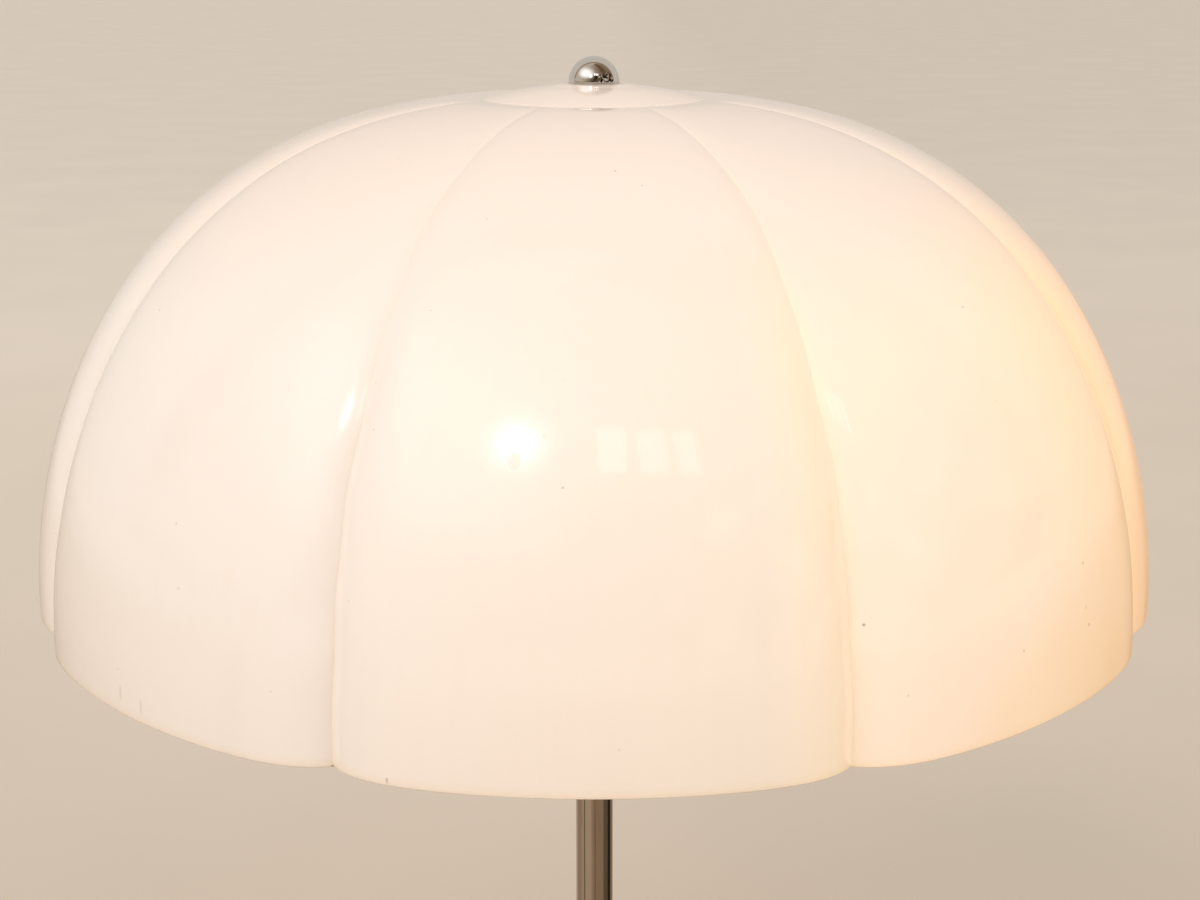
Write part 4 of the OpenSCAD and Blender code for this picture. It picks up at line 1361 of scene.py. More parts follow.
@dataclass
class Cluster:
    """The round box that carries both lamp-holders, with its lid."""

    low_z: float = 0.517
    height: float = 0.026
    radius: float = 0.023
    wall: float = 0.0016
    corner: float = 0.0015
    arm_z: float = 0.530
    arm_hole_r: float = 0.00485
    rod_hole_r: float = 0.0051
    lid_h: float = 0.0016
    lid_edge: float = 0.0008
    lid_rim_h: float = 0.0045
    lid_rim_t: float = 0.0014
    snug: float = 0.00005

    def build(self, dresser: Dresser) -> None:
        """Turns the box and its lid, and drills the box for the two arms.

        Args:
            dresser: Gives them their finish.
        """
        low, top, radius, inner = self.low_z, self.low_z + self.height, self.radius, self.radius - self.wall
        corner = Bench.arc((radius - self.corner, low + self.corner), (self.corner, self.corner), -90, 0, 6)
        box = Bench.lathe("cluster_box", [
            (self.rod_hole_r, low), *corner, (radius, top - EDGE), (radius - EDGE, top), (inner, top),
            (inner, low + self.wall), (self.rod_hole_r, low + self.wall)], steps=128, ring=True)
        Bench.drill(box, self.arm_hole_r, 3 * radius, (0.0, 0.0, self.arm_z), (0.0, math.pi / 2, 0.0))
        Bench.smooth(box, 28.0)
        dresser.stand_in(box, "chrome", "cluster_body")
        high, rim, cut = top + self.lid_h, inner - self.snug, self.lid_edge
        dresser.turned("cluster_cover", "chrome", "cluster_lid", [
            (rim - self.lid_rim_t, top - self.lid_rim_h), (rim, top - self.lid_rim_h), (rim, top),
            (radius - FINE_EDGE, top), (radius, top + FINE_EDGE),
            *Bench.arc((radius - cut, high - cut), (cut, cut), 0, 90, 5),
            (self.rod_hole_r, high), (self.rod_hole_r, top), (rim - self.lid_rim_t, top)])


@dataclass
class Thread:
    """A rolled screw thread in thin sheet, faded out at both ends."""

    radius: float
    from_x: float
    to_x: float
    depth: float
    sheet: float
    pitch: float = 0.003629
    fade: float = 0.0018

    def build(self, name: str) -> bpy.types.Object:
        """Winds one wave of the thread along a screw line and trims it.

        Args:
            name: Name of the new piece.

        Returns:
            The sleeve, standing on the Z axis.
        """
        turns = math.ceil((self.to_x - self.from_x) / self.pitch) + 2
        start = self.from_x - self.pitch
        wave = [(self.radius - self.depth * (0.5 - 0.5 * math.cos(math.tau * i / 10)),
                 start + self.pitch * i / 10) for i in range(11)]
        sleeve = Bench.draw(name, wave)
        bpy.ops.object.mode_set(mode="OBJECT")
        Bench.modify(sleeve, "SCREW", axis="Z", angle=math.tau, screw_offset=self.pitch, iterations=turns,
                     steps=56, render_steps=56, use_merge_vertices=True, merge_threshold=1e-6)
        for level, inner in ((self.from_x, True), (self.to_x, False)):
            Bench.edit(sleeve)
            bpy.ops.mesh.select_all(action="SELECT")
            bpy.ops.mesh.bisect(plane_co=(0.0, 0.0, level), plane_no=(0.0, 0.0, 1.0),
                                clear_inner=inner, clear_outer=not inner)
            bpy.ops.object.mode_set(mode="OBJECT")
        for vertex in sleeve.data.vertices:
            x, y, z = vertex.co
            share = Shade.ease(min((z - self.from_x) / self.fade, (self.to_x - z) / (1.6 * self.fade)))
            reach = math.hypot(x, y)
            wanted = self.radius - (self.radius - reach) * share
            vertex.co = (x * wanted / reach, y * wanted / reach, z)
        Bench.seal(sleeve)
        self.face_out(sleeve)
        Bench.modify(sleeve, "SOLIDIFY", thickness=self.sheet, offset=-1.0)
        Bench.smooth(sleeve, 40.0)
        return sleeve

    @staticmethod
    def face_out(sleeve: bpy.types.Object) -> None:
        """Turns an open sleeve's faces away from the Z axis.

        Args:
            sleeve: The sleeve, with all faces turned the same way.
        """
        face = sleeve.data.polygons[len(sleeve.data.polygons) // 2]
        if face.normal.x * face.center.x + face.normal.y * face.center.y < 0.0:
            Bench.edit(sleeve)
            bpy.ops.mesh.select_all(action="SELECT")
            bpy.ops.mesh.flip_normals()
            bpy.ops.object.mode_set(mode="OBJECT")


@dataclass
class LampHolder:
    """One lamp-holder on its arm: arm, cap, shell, screw shell and the switch below it."""

    arm_z: float = 0.530
    arm_from: float = 0.014
    arm_to: float = 0.040
    arm_r: float = 0.0048
    arm_bore_r: float = 0.0032
    neck_from: float = 0.02305
    neck_to: float = 0.03005
    neck_r: float = 0.007
    cap_len: float = 0.020
    cap_neck_r: float = 0.0085
    cap_neck_len: float = 0.004
    cap_r: float = 0.01755
    sheet: float = 0.0008
    shell_from: float = 0.04555
    mouth: float = 0.08705
    shell_r: float = 0.0167
    bead: float = 0.0007
    shaft_x: float = 0.05705
    shaft_hole_r: float = 0.0032
    screw_from: float = 0.06355
    screw_to: float = 0.08405
    screw_r: float = 0.01385
    shaft_r: float = 0.002
    shaft_top_z: float = 0.52595
    shaft_low_z: float = 0.50375
    knob_r: float = 0.0065
    knob_top_z: float = 0.5118
    knob_low_z: float = 0.4978
    knob_ribs: int = 16
    rib_r: float = 0.0005
    snug: float = 0.00005

    def build(self, dresser: Dresser) -> None:
        """Makes the right lamp-holder, and the left one from its copies.

        Args:
            dresser: Gives the pieces their finish.
        """
        made = {
            "arm": (self.arm(), "chrome"),
            "socket_cap": (self.cap(), "socket_brass"),
            "socket_shell": (self.shell(), "socket_brass"),
            "screw_shell": (self.screw(), "brass"),
            "switch_shaft": (self.shaft(), "brass"),
            "switch_knob": (self.knob(), "black_plastic"),
        }
        for node, (piece, slot) in made.items():
            if not node.startswith("switch"):
                Bench.lay_along_arm(piece, self.arm_z)
            left = Bench.other_side(piece, "left_" + piece.name.removeprefix("right_"))
            dresser.stand_in(piece, slot, "right_" + node)
            dresser.stand_in(left, slot, "left_" + node)

    def arm(self) -> bpy.types.Object:
        """Turns the hollow nipple with its neck.

        Returns:
            The right piece, standing on the Z axis.
        """
        outer, bore, cut = self.arm_r, self.arm_bore_r, EDGE
        arm = Bench.lathe("right_nipple", [
            (bore, self.arm_from), (outer - cut, self.arm_from), (outer, self.arm_from + cut),
            (outer, self.neck_from), (self.neck_r - 2 * cut, self.neck_from),
            (self.neck_r, self.neck_from + 2 * cut), (self.neck_r, self.neck_to - 2 * cut),
            (self.neck_r - 2 * cut, self.neck_to), (outer, self.neck_to),
            (outer, self.arm_to - cut), (outer - cut, self.arm_to), (bore, self.arm_to)], steps=64, ring=True)
        Bench.smooth(arm)
        return arm

    def cap(self) -> bpy.types.Object:
        """Spins the bell of the holder's cap in thin sheet.

        Returns:
            The right piece, standing on the Z axis.
        """
        base, rise = self.neck_to, 0.7 * self.cap_len - self.cap_neck_len
        bell = Bench.arc((self.cap_neck_r, base + self.cap_neck_len + rise),
                         (self.cap_r - self.cap_neck_r, rise), -90, 0, 14)
        hollow = [(r - self.sheet, x + self.sheet) for r, x in bell]
        end, hole, neck = base + self.cap_len, self.arm_r + self.snug, self.cap_neck_r
        cap = Bench.lathe("right_bell", [
            (hole, base), (neck - 0.0008, base), (neck - FINE_EDGE, base + FINE_EDGE),
            (neck, base + 0.0008), *bell, (self.cap_r, end - FINE_EDGE), (self.cap_r - FINE_EDGE, end),
            (self.cap_r - self.sheet, end), *hollow[::-1], (hole, base + self.cap_neck_len + self.sheet)],
            steps=96, ring=True)
        Bench.smooth(cap, 35.0)
        return cap

    def shell(self) -> bpy.types.Object:
        """Spins the shell with its bead near the mouth, and drills it for the switch.

        Returns:
            The right piece, standing on the Z axis.
        """
        radius, inner, middle = self.shell_r, self.shell_r - self.sheet, self.mouth - 3 * self.bead
        bead = Bench.arc((radius, middle), (self.bead, self.bead), -90, 90, 8)
        shell = Bench.lathe("right_barrel", [
            (inner, self.shell_from), (radius - FINE_EDGE, self.shell_from),
            (radius, self.shell_from + FINE_EDGE), *bead, (radius, self.mouth - EDGE),
            (radius - EDGE, self.mouth), (inner, self.mouth)], steps=96, ring=True)
        Bench.drill(shell, self.shaft_hole_r, 0.01, (radius, 0.0, self.shaft_x), (0.0, math.pi / 2, 0.0), 40)
        Bench.smooth(shell, 28.0)
        return shell

    def screw(self) -> bpy.types.Object:
        """Rolls the screw shell that takes the bulb."""
        thread = Thread(self.screw_r, self.screw_from, self.screw_to, depth=0.00025, sheet=0.0003)
        return thread.build("right_threads")

    def shaft(self) -> bpy.types.Object:
        """Turns the switch's shaft, upright below the holder.

        Returns:
            The right piece, in its place.
        """
        radius, low, top = self.shaft_r, self.shaft_low_z, self.shaft_top_z
        shaft = Bench.lathe("right_spindle", [
            (0.0, low), (radius - EDGE, low), (radius, low + EDGE), (radius, top - EDGE),
            (radius - EDGE, top), (0.0, top)], steps=40)
        shaft.location = (self.shaft_x, 0.0, 0.0)
        Bench.settle(shaft)
        Bench.smooth(shaft)
        return shaft

    def knob(self) -> bpy.types.Object:
        """Turns the switch's knob and cuts the grooves of its grip.

        Returns:
            The right piece, in its place.
        """
        radius, low, top, bore = self.knob_r, self.knob_low_z, self.knob_top_z, self.shaft_r + 0.00002
        edge = Bench.arc((radius - 0.001, low + 0.001), (0.001, 0.001), -90, 0, 5)
        knob = Bench.lathe("right_turn_knob", [
            (0.0, low), *edge, (radius, top - 0.0004), (radius - 0.0004, top), (bore + EDGE, top),
            (bore, top - EDGE), (bore, top - 0.00805), (0.0, top - 0.00805)], steps=96)
        bpy.ops.mesh.primitive_cylinder_add(
            vertices=20, radius=self.rib_r, depth=0.03,
            location=(radius + self.rib_r / 2, 0.0, top - 0.002 - 0.015))
        cutter = Bench.named("groove_cutter")
        Bench.copy_round(cutter, self.knob_ribs)
        Bench.cut(knob, cutter)
        knob.location = (self.shaft_x, 0.0, 0.0)
        Bench.settle(knob)
        Bench.smooth(knob, 28.0)
        return knob


@dataclass
class Bulb:
    """One round bulb: solder tip, glass insulator, threaded cap and frosted glass."""

    arm_z: float = 0.530
    tip_x: float = 0.06615
    tip_r: float = 0.003
    tip_h: float = 0.0016
    insulator_h: float = 0.0044
    insulator_r: float = 0.01235
    cap_r: float = 0.01315
    cap_len: float = 0.019
    thread_depth: float = 0.00042
    foot_r: float = 0.01235
    foot_in: float = 0.003
    glass: float = 0.0008
    globe_r: float = 0.030
    globe_x: float = 0.14415
    waist: float = math.radians(36.87)

    def build(self, dresser: Dresser) -> None:
        """Makes the right bulb, and the left one from its copies.

        Args:
            dresser: Gives the pieces their finish.
        """
        for node, piece, slots in (
                ("bulb_tip", self.tip(), ("solder", "solder")),
                ("bulb_insulator", self.insulator(), ("black_glass", "black_glass")),
                ("bulb_cap", self.cap(), ("bulb_metal", "bulb_metal")),
                ("bulb_glass", self.globe(), ("frosted_glass", "frosted_glass_lit"))):
            Bench.lay_along_arm(piece, self.arm_z)
            left = Bench.other_side(piece, "left_" + piece.name.removeprefix("right_"))
            dresser.stand_in(left, slots[0], "left_" + node)
            dresser.stand_in(piece, slots[1], "right_" + node)

    def tip(self) -> bpy.types.Object:
        """Turns the domed solder tip.

        Returns:
            The right piece, standing on the Z axis.
        """
        x, radius, height = self.tip_x, self.tip_r, self.tip_h
        dome = Bench.arc((0.0, x + 0.75 * height), (radius, 0.75 * height), -90, 0, 8)[1:]
        tip = Bench.lathe("right_solder_tip", [
            (0.0, x), *dome, (radius, x + height), (0.0, x + height)], steps=40)
        Bench.smooth(tip)
        return tip

    def insulator(self) -> bpy.types.Object:
        """Turns the black glass between the tip and the cap.

        Returns:
            The right piece, standing on the Z axis.
        """
        x, first, last = self.tip_x + self.tip_h, self.tip_r + 0.0015, self.insulator_r
        slope = [(first + (last - first) * t, x + self.insulator_h * t) for t in (0.04, 0.3, 0.6, 0.96)]
        body = Bench.lathe("right_black_glass", [
            (0.0, x), (first - FINE_EDGE, x), *slope, (last, x + self.insulator_h),
            (0.0, x + self.insulator_h)], steps=64)
        Bench.smooth(body)
        return body

    def cap(self) -> bpy.types.Object:
        """Rolls the threaded cap.

        Returns:
            The right piece, standing on the Z axis.
        """
        start = self.tip_x + self.tip_h + self.insulator_h
        thread = Thread(self.cap_r, start, start + self.cap_len, depth=self.thread_depth, sheet=0.00025)
        return thread.build("right_thread_cap")

    def outline(self, inset: float) -> Outline:
        """Draws half the glass from its foot to its end.

        Args:
            inset: Distance inwards from the outside.

        Returns:
            Radius and height of each point.
        """
        start = self.tip_x + self.tip_h + self.insulator_h
        neck_x = start + self.cap_len
        waist_x = self.globe_x - math.sin(self.waist) * self.globe_r
        waist_r = math.cos(self.waist) * self.globe_r
        bow = math.tan(self.waist) * (waist_x - neck_x) / (waist_r - self.foot_r) - 2
        neck = [(self.foot_r + (waist_r - self.foot_r) * t * t * (1 - bow + bow * t) - inset,
                 neck_x + (waist_x - neck_x) * t) for t in (i / 20 for i in range(20))]
        size = self.globe_r - inset
        globe = Bench.arc((0.0, self.globe_x), (size, size), -math.degrees(self.waist), 90, 40)[:-1]
        return [(self.foot_r - inset, start + self.foot_in), *neck, *globe, (0.0, self.globe_x + size)]

    def globe(self) -> bpy.types.Object:
        """Turns the glass, with its thin wall.

        Returns:
            The right piece, standing on the Z axis.
        """
        inside = self.outline(self.glass)[::-1]
        globe = Bench.lathe("right_globe", [*self.outline(0.0), *inside], steps=96, ring=True)
        Bench.smooth(globe, 40.0)
        return globe


@dataclass
class Carrier:
    """What holds the shade up: sleeve, rest disc, soft washer, nut and bushing on the upper rod."""

    rod_r: float = 0.0048
    rod_hole_r: float = 0.0051
    sleeve_r: float = 0.0065
    sleeve_z: float = 0.5446
    rest_z: float = 0.654
    rest_h: float = 0.0015
    rest_r: float = 0.038
    washer_r: float = 0.037
    washer_w: float = 0.009
    nut_af: float = 0.014
    nut_h: float = 0.004
    flange_r: float = 0.0125
    flange_z: float = 0.6595
    hub_z: float = 0.661
    top_z: float = 0.664
    bushing_r: float = 0.00795
    snug: float = 0.00005

    def build(self, dresser: Dresser, shade: Shade) -> None:
        """Makes the five pieces.

        Args:
            dresser: Gives them their finish.
            shade: The shade, whose hub the soft washer follows.
        """
        hole, low, top, cut = self.rod_hole_r, self.sleeve_z, self.rest_z, EDGE
        dresser.turned("rod_sleeve", "chrome", "rod_cover", [
            (hole, low), (self.sleeve_r - cut, low), (self.sleeve_r, low + cut),
            (self.sleeve_r, (low + top) / 2), (self.sleeve_r, top - cut), (self.sleeve_r - cut, top),
            (hole, top)], 80)
        low, top, edge = self.rest_z, self.rest_z + self.rest_h, 0.0005
        dresser.turned("shade_rest", "chrome", "rest_disc", [
            (hole, low), (self.rest_r - edge, low), (self.rest_r - 0.3 * edge, low + 0.3 * edge),
            (self.rest_r, low + edge), (self.rest_r, top - FINE_EDGE), (self.rest_r - FINE_EDGE, top),
            (hole, top)])
        inside, outside = self.washer_r - self.washer_w, self.washer_r
        slope = [(r, self.top_z - shade.ball_r + math.sqrt((shade.ball_r - shade.wall) ** 2 - r * r) - cut)
                 for r in (outside, outside - self.washer_w / 3, outside - 2 * self.washer_w / 3, inside)]
        dresser.turned("shade_washer", "rubber", "soft_washer", [
            (inside, top), (outside - cut, top), (outside, top + cut), *slope])
        self.build_nut(dresser)
        bore, flange, low = self.rod_r + self.snug, self.flange_r, self.flange_z
        dresser.turned("shade_bushing", "white_nylon", "hub_bushing", [
            (bore, low), (flange - 0.0004, low), (flange, low + 0.0004), (flange, self.hub_z - FINE_EDGE),
            (flange - FINE_EDGE, self.hub_z), (self.bushing_r, self.hub_z), (self.bushing_r, self.top_z - cut),
            (self.bushing_r - cut, self.top_z), (bore, self.top_z)], 96)

    def build_nut(self, dresser: Dresser) -> None:
        """Cuts the hexagon nut: six flats, chamfered corners and a bore.

        Args:
            dresser: Gives it its finish.
        """
        middle = (0.0, 0.0, self.rest_z + self.rest_h + self.nut_h / 2)
        Bench.clear()
        bpy.ops.mesh.primitive_cylinder_add(
            vertices=6, radius=self.nut_af / 2 / math.cos(math.pi / 6), depth=self.nut_h, location=middle,
            rotation=(0.0, 0.0, math.pi / 6))
        nut = Bench.named("hub_nut")
        Bench.settle(nut)
        Bench.modify(nut, "BEVEL", width=0.0005, segments=2, limit_method="ANGLE",
                     angle_limit=math.radians(50.0), use_clamp_overlap=True)
        Bench.drill(nut, self.rod_r + self.snug, 3 * self.nut_h, middle)
        Bench.smooth(nut, 28.0)
        dresser.stand_in(nut, "brass", "shade_rod_nut")


@dataclass
class Finial:
    """The half-ball finial with its thin washer."""

    washer_z: float = 0.6640
    ball_z: float = 0.6645
    edge_h: float = 0.0002
    ball_r: float = 0.0125
    bore_r: float = 0.00655
    bore_h: float = 0.00805
    washer_lip: float = 0.0004
    washer_bore_r: float = 0.00485

    def build(self, dresser: Dresser) -> None:
        """Turns the ball, with its bore, and the washer below it.

        Args:
            dresser: Gives them their finish.
        """
        base, radius, middle = self.ball_z, self.ball_r, self.ball_z + self.edge_h
        dresser.turned("finial", "chrome", "finial_ball", [
            (0.0, base + self.bore_h), (self.bore_r, base + self.bore_h), (self.bore_r, base),
            (radius - 0.00012, base), (radius, base + 0.00008),
            *Bench.arc((0.0, middle), (radius, radius), 0, 90, 40)[:-1], (0.0, middle + radius)], ring=False)
        low, high, lip, cut = self.washer_z, self.ball_z, self.ball_r + self.washer_lip, 0.0001
        dresser.turned("finial_washer", "chrome", "finial_shim", [
            (self.washer_bore_r, low), (lip - cut, low), (lip, low + cut), (lip, high - cut), (lip - cut, high),
            (self.washer_bore_r, high)])


@dataclass
class Studio:
    """Floor, lights, surroundings and camera."""

    camera_at: Place = (0.003, -0.951, 0.7282)
    pitch: float = 0.25778
    lens: float = 57.11
    wall_colour: Colour = (0.72, 0.615, 0.512)
    # Painted light on the far floor.
    painted_far_light: Colour = (0.155, 0.145, 0.128)
    back_wall: Colour = (0.60, 0.55, 0.49)
    bounce: Colour = (1.4, 1.37, 1.33)
    bounce_way: Place = (-0.557, -0.557, 0.616)
    bounce_reach: Place = (0.80, 0.80, 0.42)
    floor_tones: tuple[Colour, Colour] = ((0.612, 0.524, 0.431), (0.640, 0.547, 0.450))
    floor_from: float = 3.0
    floor_to: float = 6.0
    sky_tones: tuple[Colour, Colour] = ((0.95, 0.93, 0.91), (0.74, 0.72, 0.70))
    flash_at: Place = (-0.270, -0.956, 1.208)
    flash_aim: Place = (-0.0287, -0.2462, 0.5455)
    flash_step: float = 0.002
    flash_discs: tuple[tuple[float, float], ...] = (
        (0.092, 0.60), (0.124, 0.10), (0.156, 0.13), (0.194, 0.14), (0.240, 0.14), (0.300, 0.13))
    aim: Place = (0.0, 0.0, 0.5)
    key_at: Place = (-2.2, -2.6, 3.2)
    key_size: float = 2.6
    key_power: float = 60.0
    fill_at: Place = (2.6, -1.4, 2.4)
    fill_size: float = 2.2
    fill_power: float = 24.0
    pane_yz: tuple[float, float] = (-2.25, 2.29)
    pane_aim: Place = (0.02, -0.249, 0.542)
    panes: tuple[tuple[float, float], ...] = ((0.163, 0.255), (0.528, 0.252), (0.86, 0.21))
    pane_h: float = 0.46
    pane_power: float = 2.2
    # Painted reflection: the floor's colour for glossy rays, by azimuth.
    below: tuple[tuple[float, Tone], ...] = (
        (-180, Tone.SAND), (-142, Tone.SAND), (-132, Tone.TAN), (-121, Tone.TIMBER), (-104, Tone.TIMBER),
        (-76, Tone.TAN), (-69, Tone.TAN), (-67, Tone.DIM), (-62, Tone.DIM), (-60, Tone.TAN), (-24, Tone.TAN),
        (-17, Tone.TIMBER), (-13, Tone.TIMBER), (-8, Tone.WALNUT), (1, Tone.WALNUT), (3, Tone.DIM), (5, Tone.DIM),
        (7, Tone.WALNUT), (57, Tone.WALNUT), (59, Tone.DIM), (88, Tone.DIM), (94, Tone.SHADOW), (114, Tone.SHADOW),
        (121, Tone.WALNUT), (136, Tone.WALNUT), (150, Tone.SAND), (180, Tone.SAND),
    )
    skirting: tuple[tuple[float, Tone], ...] = (
        (-180, Tone.PALE), (-60, Tone.PALE), (-36, Tone.TAN), (-10, Tone.SHADOW), (20, Tone.DIM), (100, Tone.DIM),
        (112, Tone.PALE), (180, Tone.PALE),
    )
    level: tuple[tuple[float, Tone], ...] = (
        (-180, Tone.PALE), (-70, Tone.PALE), (-36, Tone.SAND), (-4, Tone.DIM), (6, Tone.DIM), (34, Tone.WALNUT),
        (62, Tone.TAN), (84, Tone.TAN), (96, Tone.DIM), (112, Tone.DIM), (130, Tone.PALE), (180, Tone.PALE),
    )
    middle: tuple[tuple[float, Tone], ...] = (
        (-180, Tone.PALE), (-20, Tone.PALE), (2, Tone.WALNUT), (30, Tone.DIM), (50, Tone.DIM), (60, Tone.TAN),
        (78, Tone.TAN), (90, Tone.DIM), (110, Tone.DIM), (130, Tone.PALE), (180, Tone.PALE),
    )
    levels: tuple[tuple[float, float], ...] = ((0.04, 0.06), (0.11, 0.14), (0.27, 0.34), (0.48, 0.58))
    above: tuple[tuple[float, Tone], ...] = (
        (-180, Tone.PALE), (-90, Tone.PALE), (-10, Tone.SAND), (30, Tone.TIMBER), (55, Tone.DIM), (80, Tone.WALNUT),
        (108, Tone.TAN), (130, Tone.PALE), (180, Tone.PALE),
    )

    def build(self) -> None:
        """Builds all of the studio."""
        self.floor()
        self.camera()
        self.lights()
        self.surroundings()

    def floor(self) -> None:
        """Lays a plain pale floor. For glossy rays its colour is a painted reflection of a room in brown tones, and
        its far part has painted light that brightens it with distance.
        """
        Bench.clear()
        bpy.ops.mesh.primitive_plane_add(size=90.0, location=(0.0, 0.0, 0.0))
        floor = Bench.named("studio_floor")
        surface = Surface("pale_floor")
        axes, _, turn = surface.bearings(surface.place)
        first, second = self.floor_tones
        tone = surface.noise(surface.place, 3.0, 2.0)
        pale = surface.blend(surface.spread(tone, 0.3, 0.7), solid(first), solid(second))
        reach = surface.spread(surface.length(surface.place), self.floor_from, self.floor_to)
        # Painted reflection of a room, seen only by glossy rays.
        room = surface.blend(reach, self.tones(surface, turn, self.below), solid(Tone.PALE.value))
        seen = surface.add("LightPath").outputs
        # Painted light that brightens the floor with distance, for the eye and for glossy rays.
        far = surface.spread(axes[1], 0.1, 3.2)
        far = surface.product(far, surface.spread(axes[0], -0.9, 0.9, 1.25, 0.75))
        watched = surface.math("MAXIMUM", seen["Is Camera Ray"], seen["Is Glossy Ray"])
        surface.feed(surface.shader, {
            "Base Color": surface.blend(seen["Is Glossy Ray"], pale, room),
            "Emission Color": surface.blend(surface.product(far, watched), solid((0.0, 0.0, 0.0)),
                                            solid(self.painted_far_light)),
            "Emission Strength": 1.0,
            "Roughness": 0.9,
            "Specular IOR Level": 0.1,
        })
        floor.data.materials.append(surface.material)

    @staticmethod
    def tones(graph: Graph, turn: bpy.types.NodeSocket,
              table: Sequence[tuple[float, Tone]]) -> bpy.types.NodeSocket:
        """Turns an azimuth, as a share from 0 to 1, into the room's tone in that direction."""
        return graph.by_azimuth(turn, [(angle, tone.value) for angle, tone in table])

    def camera(self) -> None:
        """Places the camera at the photograph's angle."""
        data = bpy.data.cameras.new("camera")
        data.lens = self.lens
        data.sensor_width = 36.0
        data.clip_end = 200.0
        camera = bpy.data.objects.new("camera", data)
        camera.location = self.camera_at
        camera.rotation_euler = (math.pi / 2 - self.pitch, 0.0, 0.0)
        bpy.context.scene.collection.objects.link(camera)
        bpy.context.scene.camera = camera

    @staticmethod
    def lamp(name: str, place: Sequence[float], aim: Sequence[float], size: tuple[float, float],
             power: float, colour: Colour = (1.0, 0.96, 0.9), round_shape: bool = False) -> bpy.types.Object:
        """Hangs one area light.

        Args:
            name: Name of the light.
            place: Where it hangs.
            aim: The point that it faces.
            size: Its width and height.
            power: Its power in watts.
            colour: Its colour.
            round_shape: True makes it an ellipse.

        Returns:
            The light.
        """
        data = bpy.data.lights.new(name, "AREA")
        data.shape = "ELLIPSE" if round_shape else "RECTANGLE"
        data.size, data.size_y = size
        data.energy = power
        data.color = colour
        light = bpy.data.objects.new(name, data)
        light.location = place
        light.rotation_euler = (Vector(aim) - Vector(place)).to_track_quat("-Z", "Y").to_euler()
        bpy.context.scene.collection.objects.link(light)
        return light

    def lights(self) -> None:
        """Hangs a wide soft key light, a fill, the small flash, the far window panes and the bulb's light."""
        key = self.lamp("key", self.key_at, self.aim, (self.key_size, self.key_size), self.key_power)
        fill = self.lamp("fill", self.fill_at, self.aim, (self.fill_size, self.fill_size), self.fill_power,
                         (1.0, 0.93, 0.86))
        key.visible_glossy = fill.visible_glossy = False
        x, y, z = self.flash_at
        for number, (size, power) in enumerate(self.flash_discs):
            back = self.flash_step * number
            disc = self.lamp(f"flash_{number}", (x, y - back, z + back), self.flash_aim, (size, size), power,
                             (1.0, 0.98, 0.95), round_shape=True)
            disc.visible_diffuse = number == 0
        for number, (x, width) in enumerate(self.panes):
            pane = self.lamp(f"window_{number}", (x, *self.pane_yz), self.pane_aim, (width, self.pane_h),
                             self.pane_power * width, (1.0, 0.99, 0.95))
            pane.visible_diffuse = False
        bulb = bpy.data.lights.new("bulb_glow", "POINT")
        bulb.energy, bulb.color, bulb.shadow_soft_size = 0.5, (1.0, 0.62, 0.28), 0.03
        glow = bpy.data.objects.new("bulb_glow", bulb)
        glow.location = (0.144, 0.0, 0.53)
        bpy.context.scene.collection.objects.link(glow)

    def surroundings(self) -> None:
        """Gives the world one plain tone for the eye, and a softly uneven room for mirrors."""
        world = bpy.data.worlds.new("studio")
        bpy.context.scene.world = world
        world.use_nodes = True
        graph = Graph(world.node_tree)
        way = graph.add("TexCoord").outputs["Generated"]
        axes, _, turn = graph.bearings(way)
        room = solid(Tone.SAND.value)
        for table, (low, high) in zip((self.skirting, self.level, self.middle, self.above), self.levels):
            higher = graph.spread(axes[2], low, high, smooth=True)
            room = graph.blend(higher, room, self.tones(graph, turn, table))
        blocks = graph.add("TexVoronoi", inputs={"Vector": way, "Scale": 8.0})
        chance = graph.add("SeparateColor", inputs={0: blocks.outputs["Color"]}).outputs[0]
        things = graph.product(graph.spread(axes[0], -0.1, 0.15), graph.spread(axes[2], 0.62, 0.45))
        ledge = graph.product(graph.spread(axes[1], 0.02, 0.12, smooth=True), graph.spread(axes[2], 0.1, 0.2))
        off = graph.vector("DIVIDE", graph.vector("SUBTRACT", way, self.bounce_way), self.bounce_reach)
        for share, colour in (
                (graph.product(things, graph.spread(chance, 0.55, 0.62)), Tone.SHADOW.value),
                (graph.product(things, graph.spread(chance, 0.22, 0.16)), Tone.PALE.value),
                (graph.product(ledge, 0.75), Tone.TIMBER.value),
                (graph.spread(axes[1], 0.20, 0.26, smooth=True), self.back_wall),
                (graph.spread(graph.length(off), 1.0, 0.2, smooth=True), self.bounce)):
            room = graph.blend(share, room, solid(colour))
        seen = graph.add("LightPath").outputs
        low, high = self.sky_tones
        sky = graph.blend(graph.spread(axes[2], 0.15, 1.0), solid(low), solid(high))
        plain = graph.blend(seen["Is Camera Ray"], sky, solid(self.wall_colour))
        graph.feed(world.node_tree.nodes["Background"], {
            "Color": graph.blend(seen["Is Glossy Ray"], plain, room), "Strength": 1.0})
        bpy.context.scene.view_settings.view_transform = "Standard"


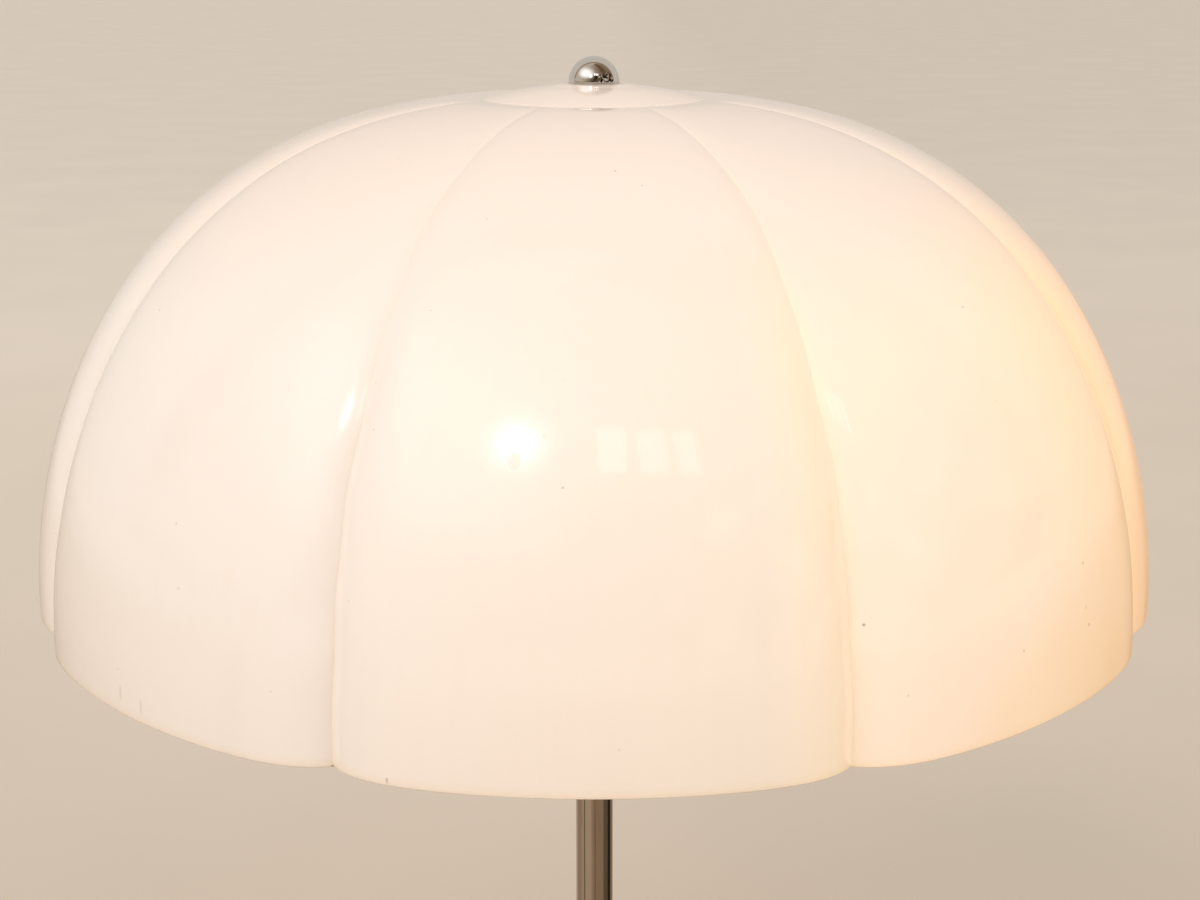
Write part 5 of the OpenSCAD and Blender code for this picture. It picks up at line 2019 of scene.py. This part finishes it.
BRASS_SOIL = (0.26, 0.15, 0.05)
FINISHES = (
    Finish("chrome", (0.80, 0.785, 0.76), (0.55, 0.50, 0.43), 0.018, 0.04, metallic=1.0, blotch_share=0.10,
           speck_share=0.35, line_share=0.3, rings_axis=(0.0, 0.0, 1.0), rings_scale=2600.0, rings=0.0000006),
    Finish("felt", (0.020, 0.030, 0.022), (0.07, 0.07, 0.06), 0.95, 0.05, blotch_share=0.3, speck_scale=700.0,
           grain_scale=2600.0, grain=0.0006, line_share=0.0),
    Finish("cast_iron", (0.060, 0.058, 0.056), (0.11, 0.055, 0.03), 0.62, 0.2, metallic=0.6, blotch_share=0.5,
           grain_scale=1100.0, grain=0.0003),
    Finish("steel", (0.50, 0.49, 0.47), (0.25, 0.19, 0.13), 0.30, 0.15, metallic=1.0, blotch_share=0.3,
           grain_scale=2200.0, grain=0.00004),
    Finish("brass", (0.66, 0.46, 0.17), BRASS_SOIL, 0.24, 0.16, metallic=1.0, blotch_share=0.35,
           grain_scale=2400.0, grain=0.00003),
    Finish("socket_brass", (0.72, 0.53, 0.23), BRASS_SOIL, 0.17, 0.14, metallic=1.0, blotch_share=0.28,
           rings_axis=(1.0, 0.0, 0.0), rings_scale=2400.0, rings=0.0000015),
    Finish("black_plastic", (0.014, 0.013, 0.012), (0.07, 0.06, 0.05), 0.30, 0.18, blotch_share=0.3,
           grain_scale=1600.0, grain=0.00003),
    Finish("yellow_plastic", (0.72, 0.50, 0.06), (0.40, 0.26, 0.05), 0.38, 0.15,
           grain_scale=1500.0, grain=0.00003),
    Finish("brown_plastic", (0.10, 0.045, 0.02), (0.05, 0.02, 0.01), 0.34, 0.15,
           grain_scale=1500.0, grain=0.00003),
    Finish("fibre", (0.42, 0.30, 0.17), (0.20, 0.12, 0.06), 0.85, 0.1, blotch_share=0.4, grain_scale=1900.0,
           grain=0.0002),
    Finish("lead_sleeve", (0.045, 0.042, 0.04), (0.12, 0.11, 0.10), 0.5, 0.15,
           grain_scale=1800.0, grain=0.00004),
    Finish("rubber", (0.022, 0.021, 0.020), (0.08, 0.075, 0.07), 0.75, 0.15, blotch_share=0.4, grain_scale=1500.0,
           grain=0.0001),
    Finish("white_nylon", (0.70, 0.66, 0.58), (0.45, 0.38, 0.28), 0.42, 0.15,
           grain_scale=1500.0, grain=0.00003),
    Finish("solder", (0.55, 0.54, 0.52), (0.30, 0.28, 0.25), 0.36, 0.2, metallic=1.0, grain_scale=1300.0,
           grain=0.0001),
    Finish("black_glass", (0.012, 0.011, 0.016), (0.06, 0.05, 0.05), 0.08, 0.1, coat=0.6, grain_scale=700.0,
           grain=0.00004),
    Finish("bulb_metal", (0.66, 0.64, 0.59), (0.42, 0.37, 0.30), 0.24, 0.16, metallic=1.0, blotch_share=0.3,
           grain_scale=2400.0, grain=0.00003),
    Finish("frosted_glass", (0.82, 0.81, 0.79), (0.66, 0.60, 0.50), 0.42, 0.12, blotch_share=0.2, line_share=0.1,
           grain_scale=1700.0, grain=0.00004),
)
KEPT = {
    "cast_iron": ("base_weight",),
    "steel": ("base_lock_washer",),
    "brass": ("base_nut", "threaded_rod", "cluster_nuts", "shade_rod", "finial_insert"),
    "yellow_plastic": ("wire_connectors",),
}
KEPT_PAIRS = {
    "fibre": ("liner",),
    "brown_plastic": ("socket_core",),
    "brass": ("centre_contact", "terminal_screws"),
    "lead_sleeve": ("inner_leads",),
    "clear_glass": ("bulb_stem",),
}


def write_size() -> None:
    """Updates the view layer, so that every piece's place is current.
    """
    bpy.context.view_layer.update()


def main() -> None:
    """Builds and dresses the lamp piece by piece, then the studio round it."""
    logging.basicConfig(level=logging.INFO, format="%(message)s")
    write_size()
    effects = Effects()
    materials = {finish.name: finish.build(effects) for finish in FINISHES}
    for finish in (OpalAcrylic(), LitGlass(), ClearGlass()):
        materials[finish.name] = finish.build(effects)
    bodies = {node: body for body, nodes in frame["record"]["behaviour"]["bodies"].items() for node in nodes}
    dresser = Dresser(materials, bodies)
    Base().build(dresser)
    Stem().build(dresser)
    Cluster().build(dresser)
    LampHolder().build(dresser)
    Bulb().build(dresser)
    shade = Shade()
    Carrier().build(dresser, shade)
    shade.build(dresser)
    Finial().build(dresser)
    for slot, nodes in KEPT.items():
        for node in nodes:
            dresser.keep(node, slot)
    for slot, nodes in KEPT_PAIRS.items():
        for node in nodes:
            dresser.keep("left_" + node, slot)
            dresser.keep("right_" + node, slot)
    Studio().build()
    write_size()


if __name__ == "__main__":
    main()
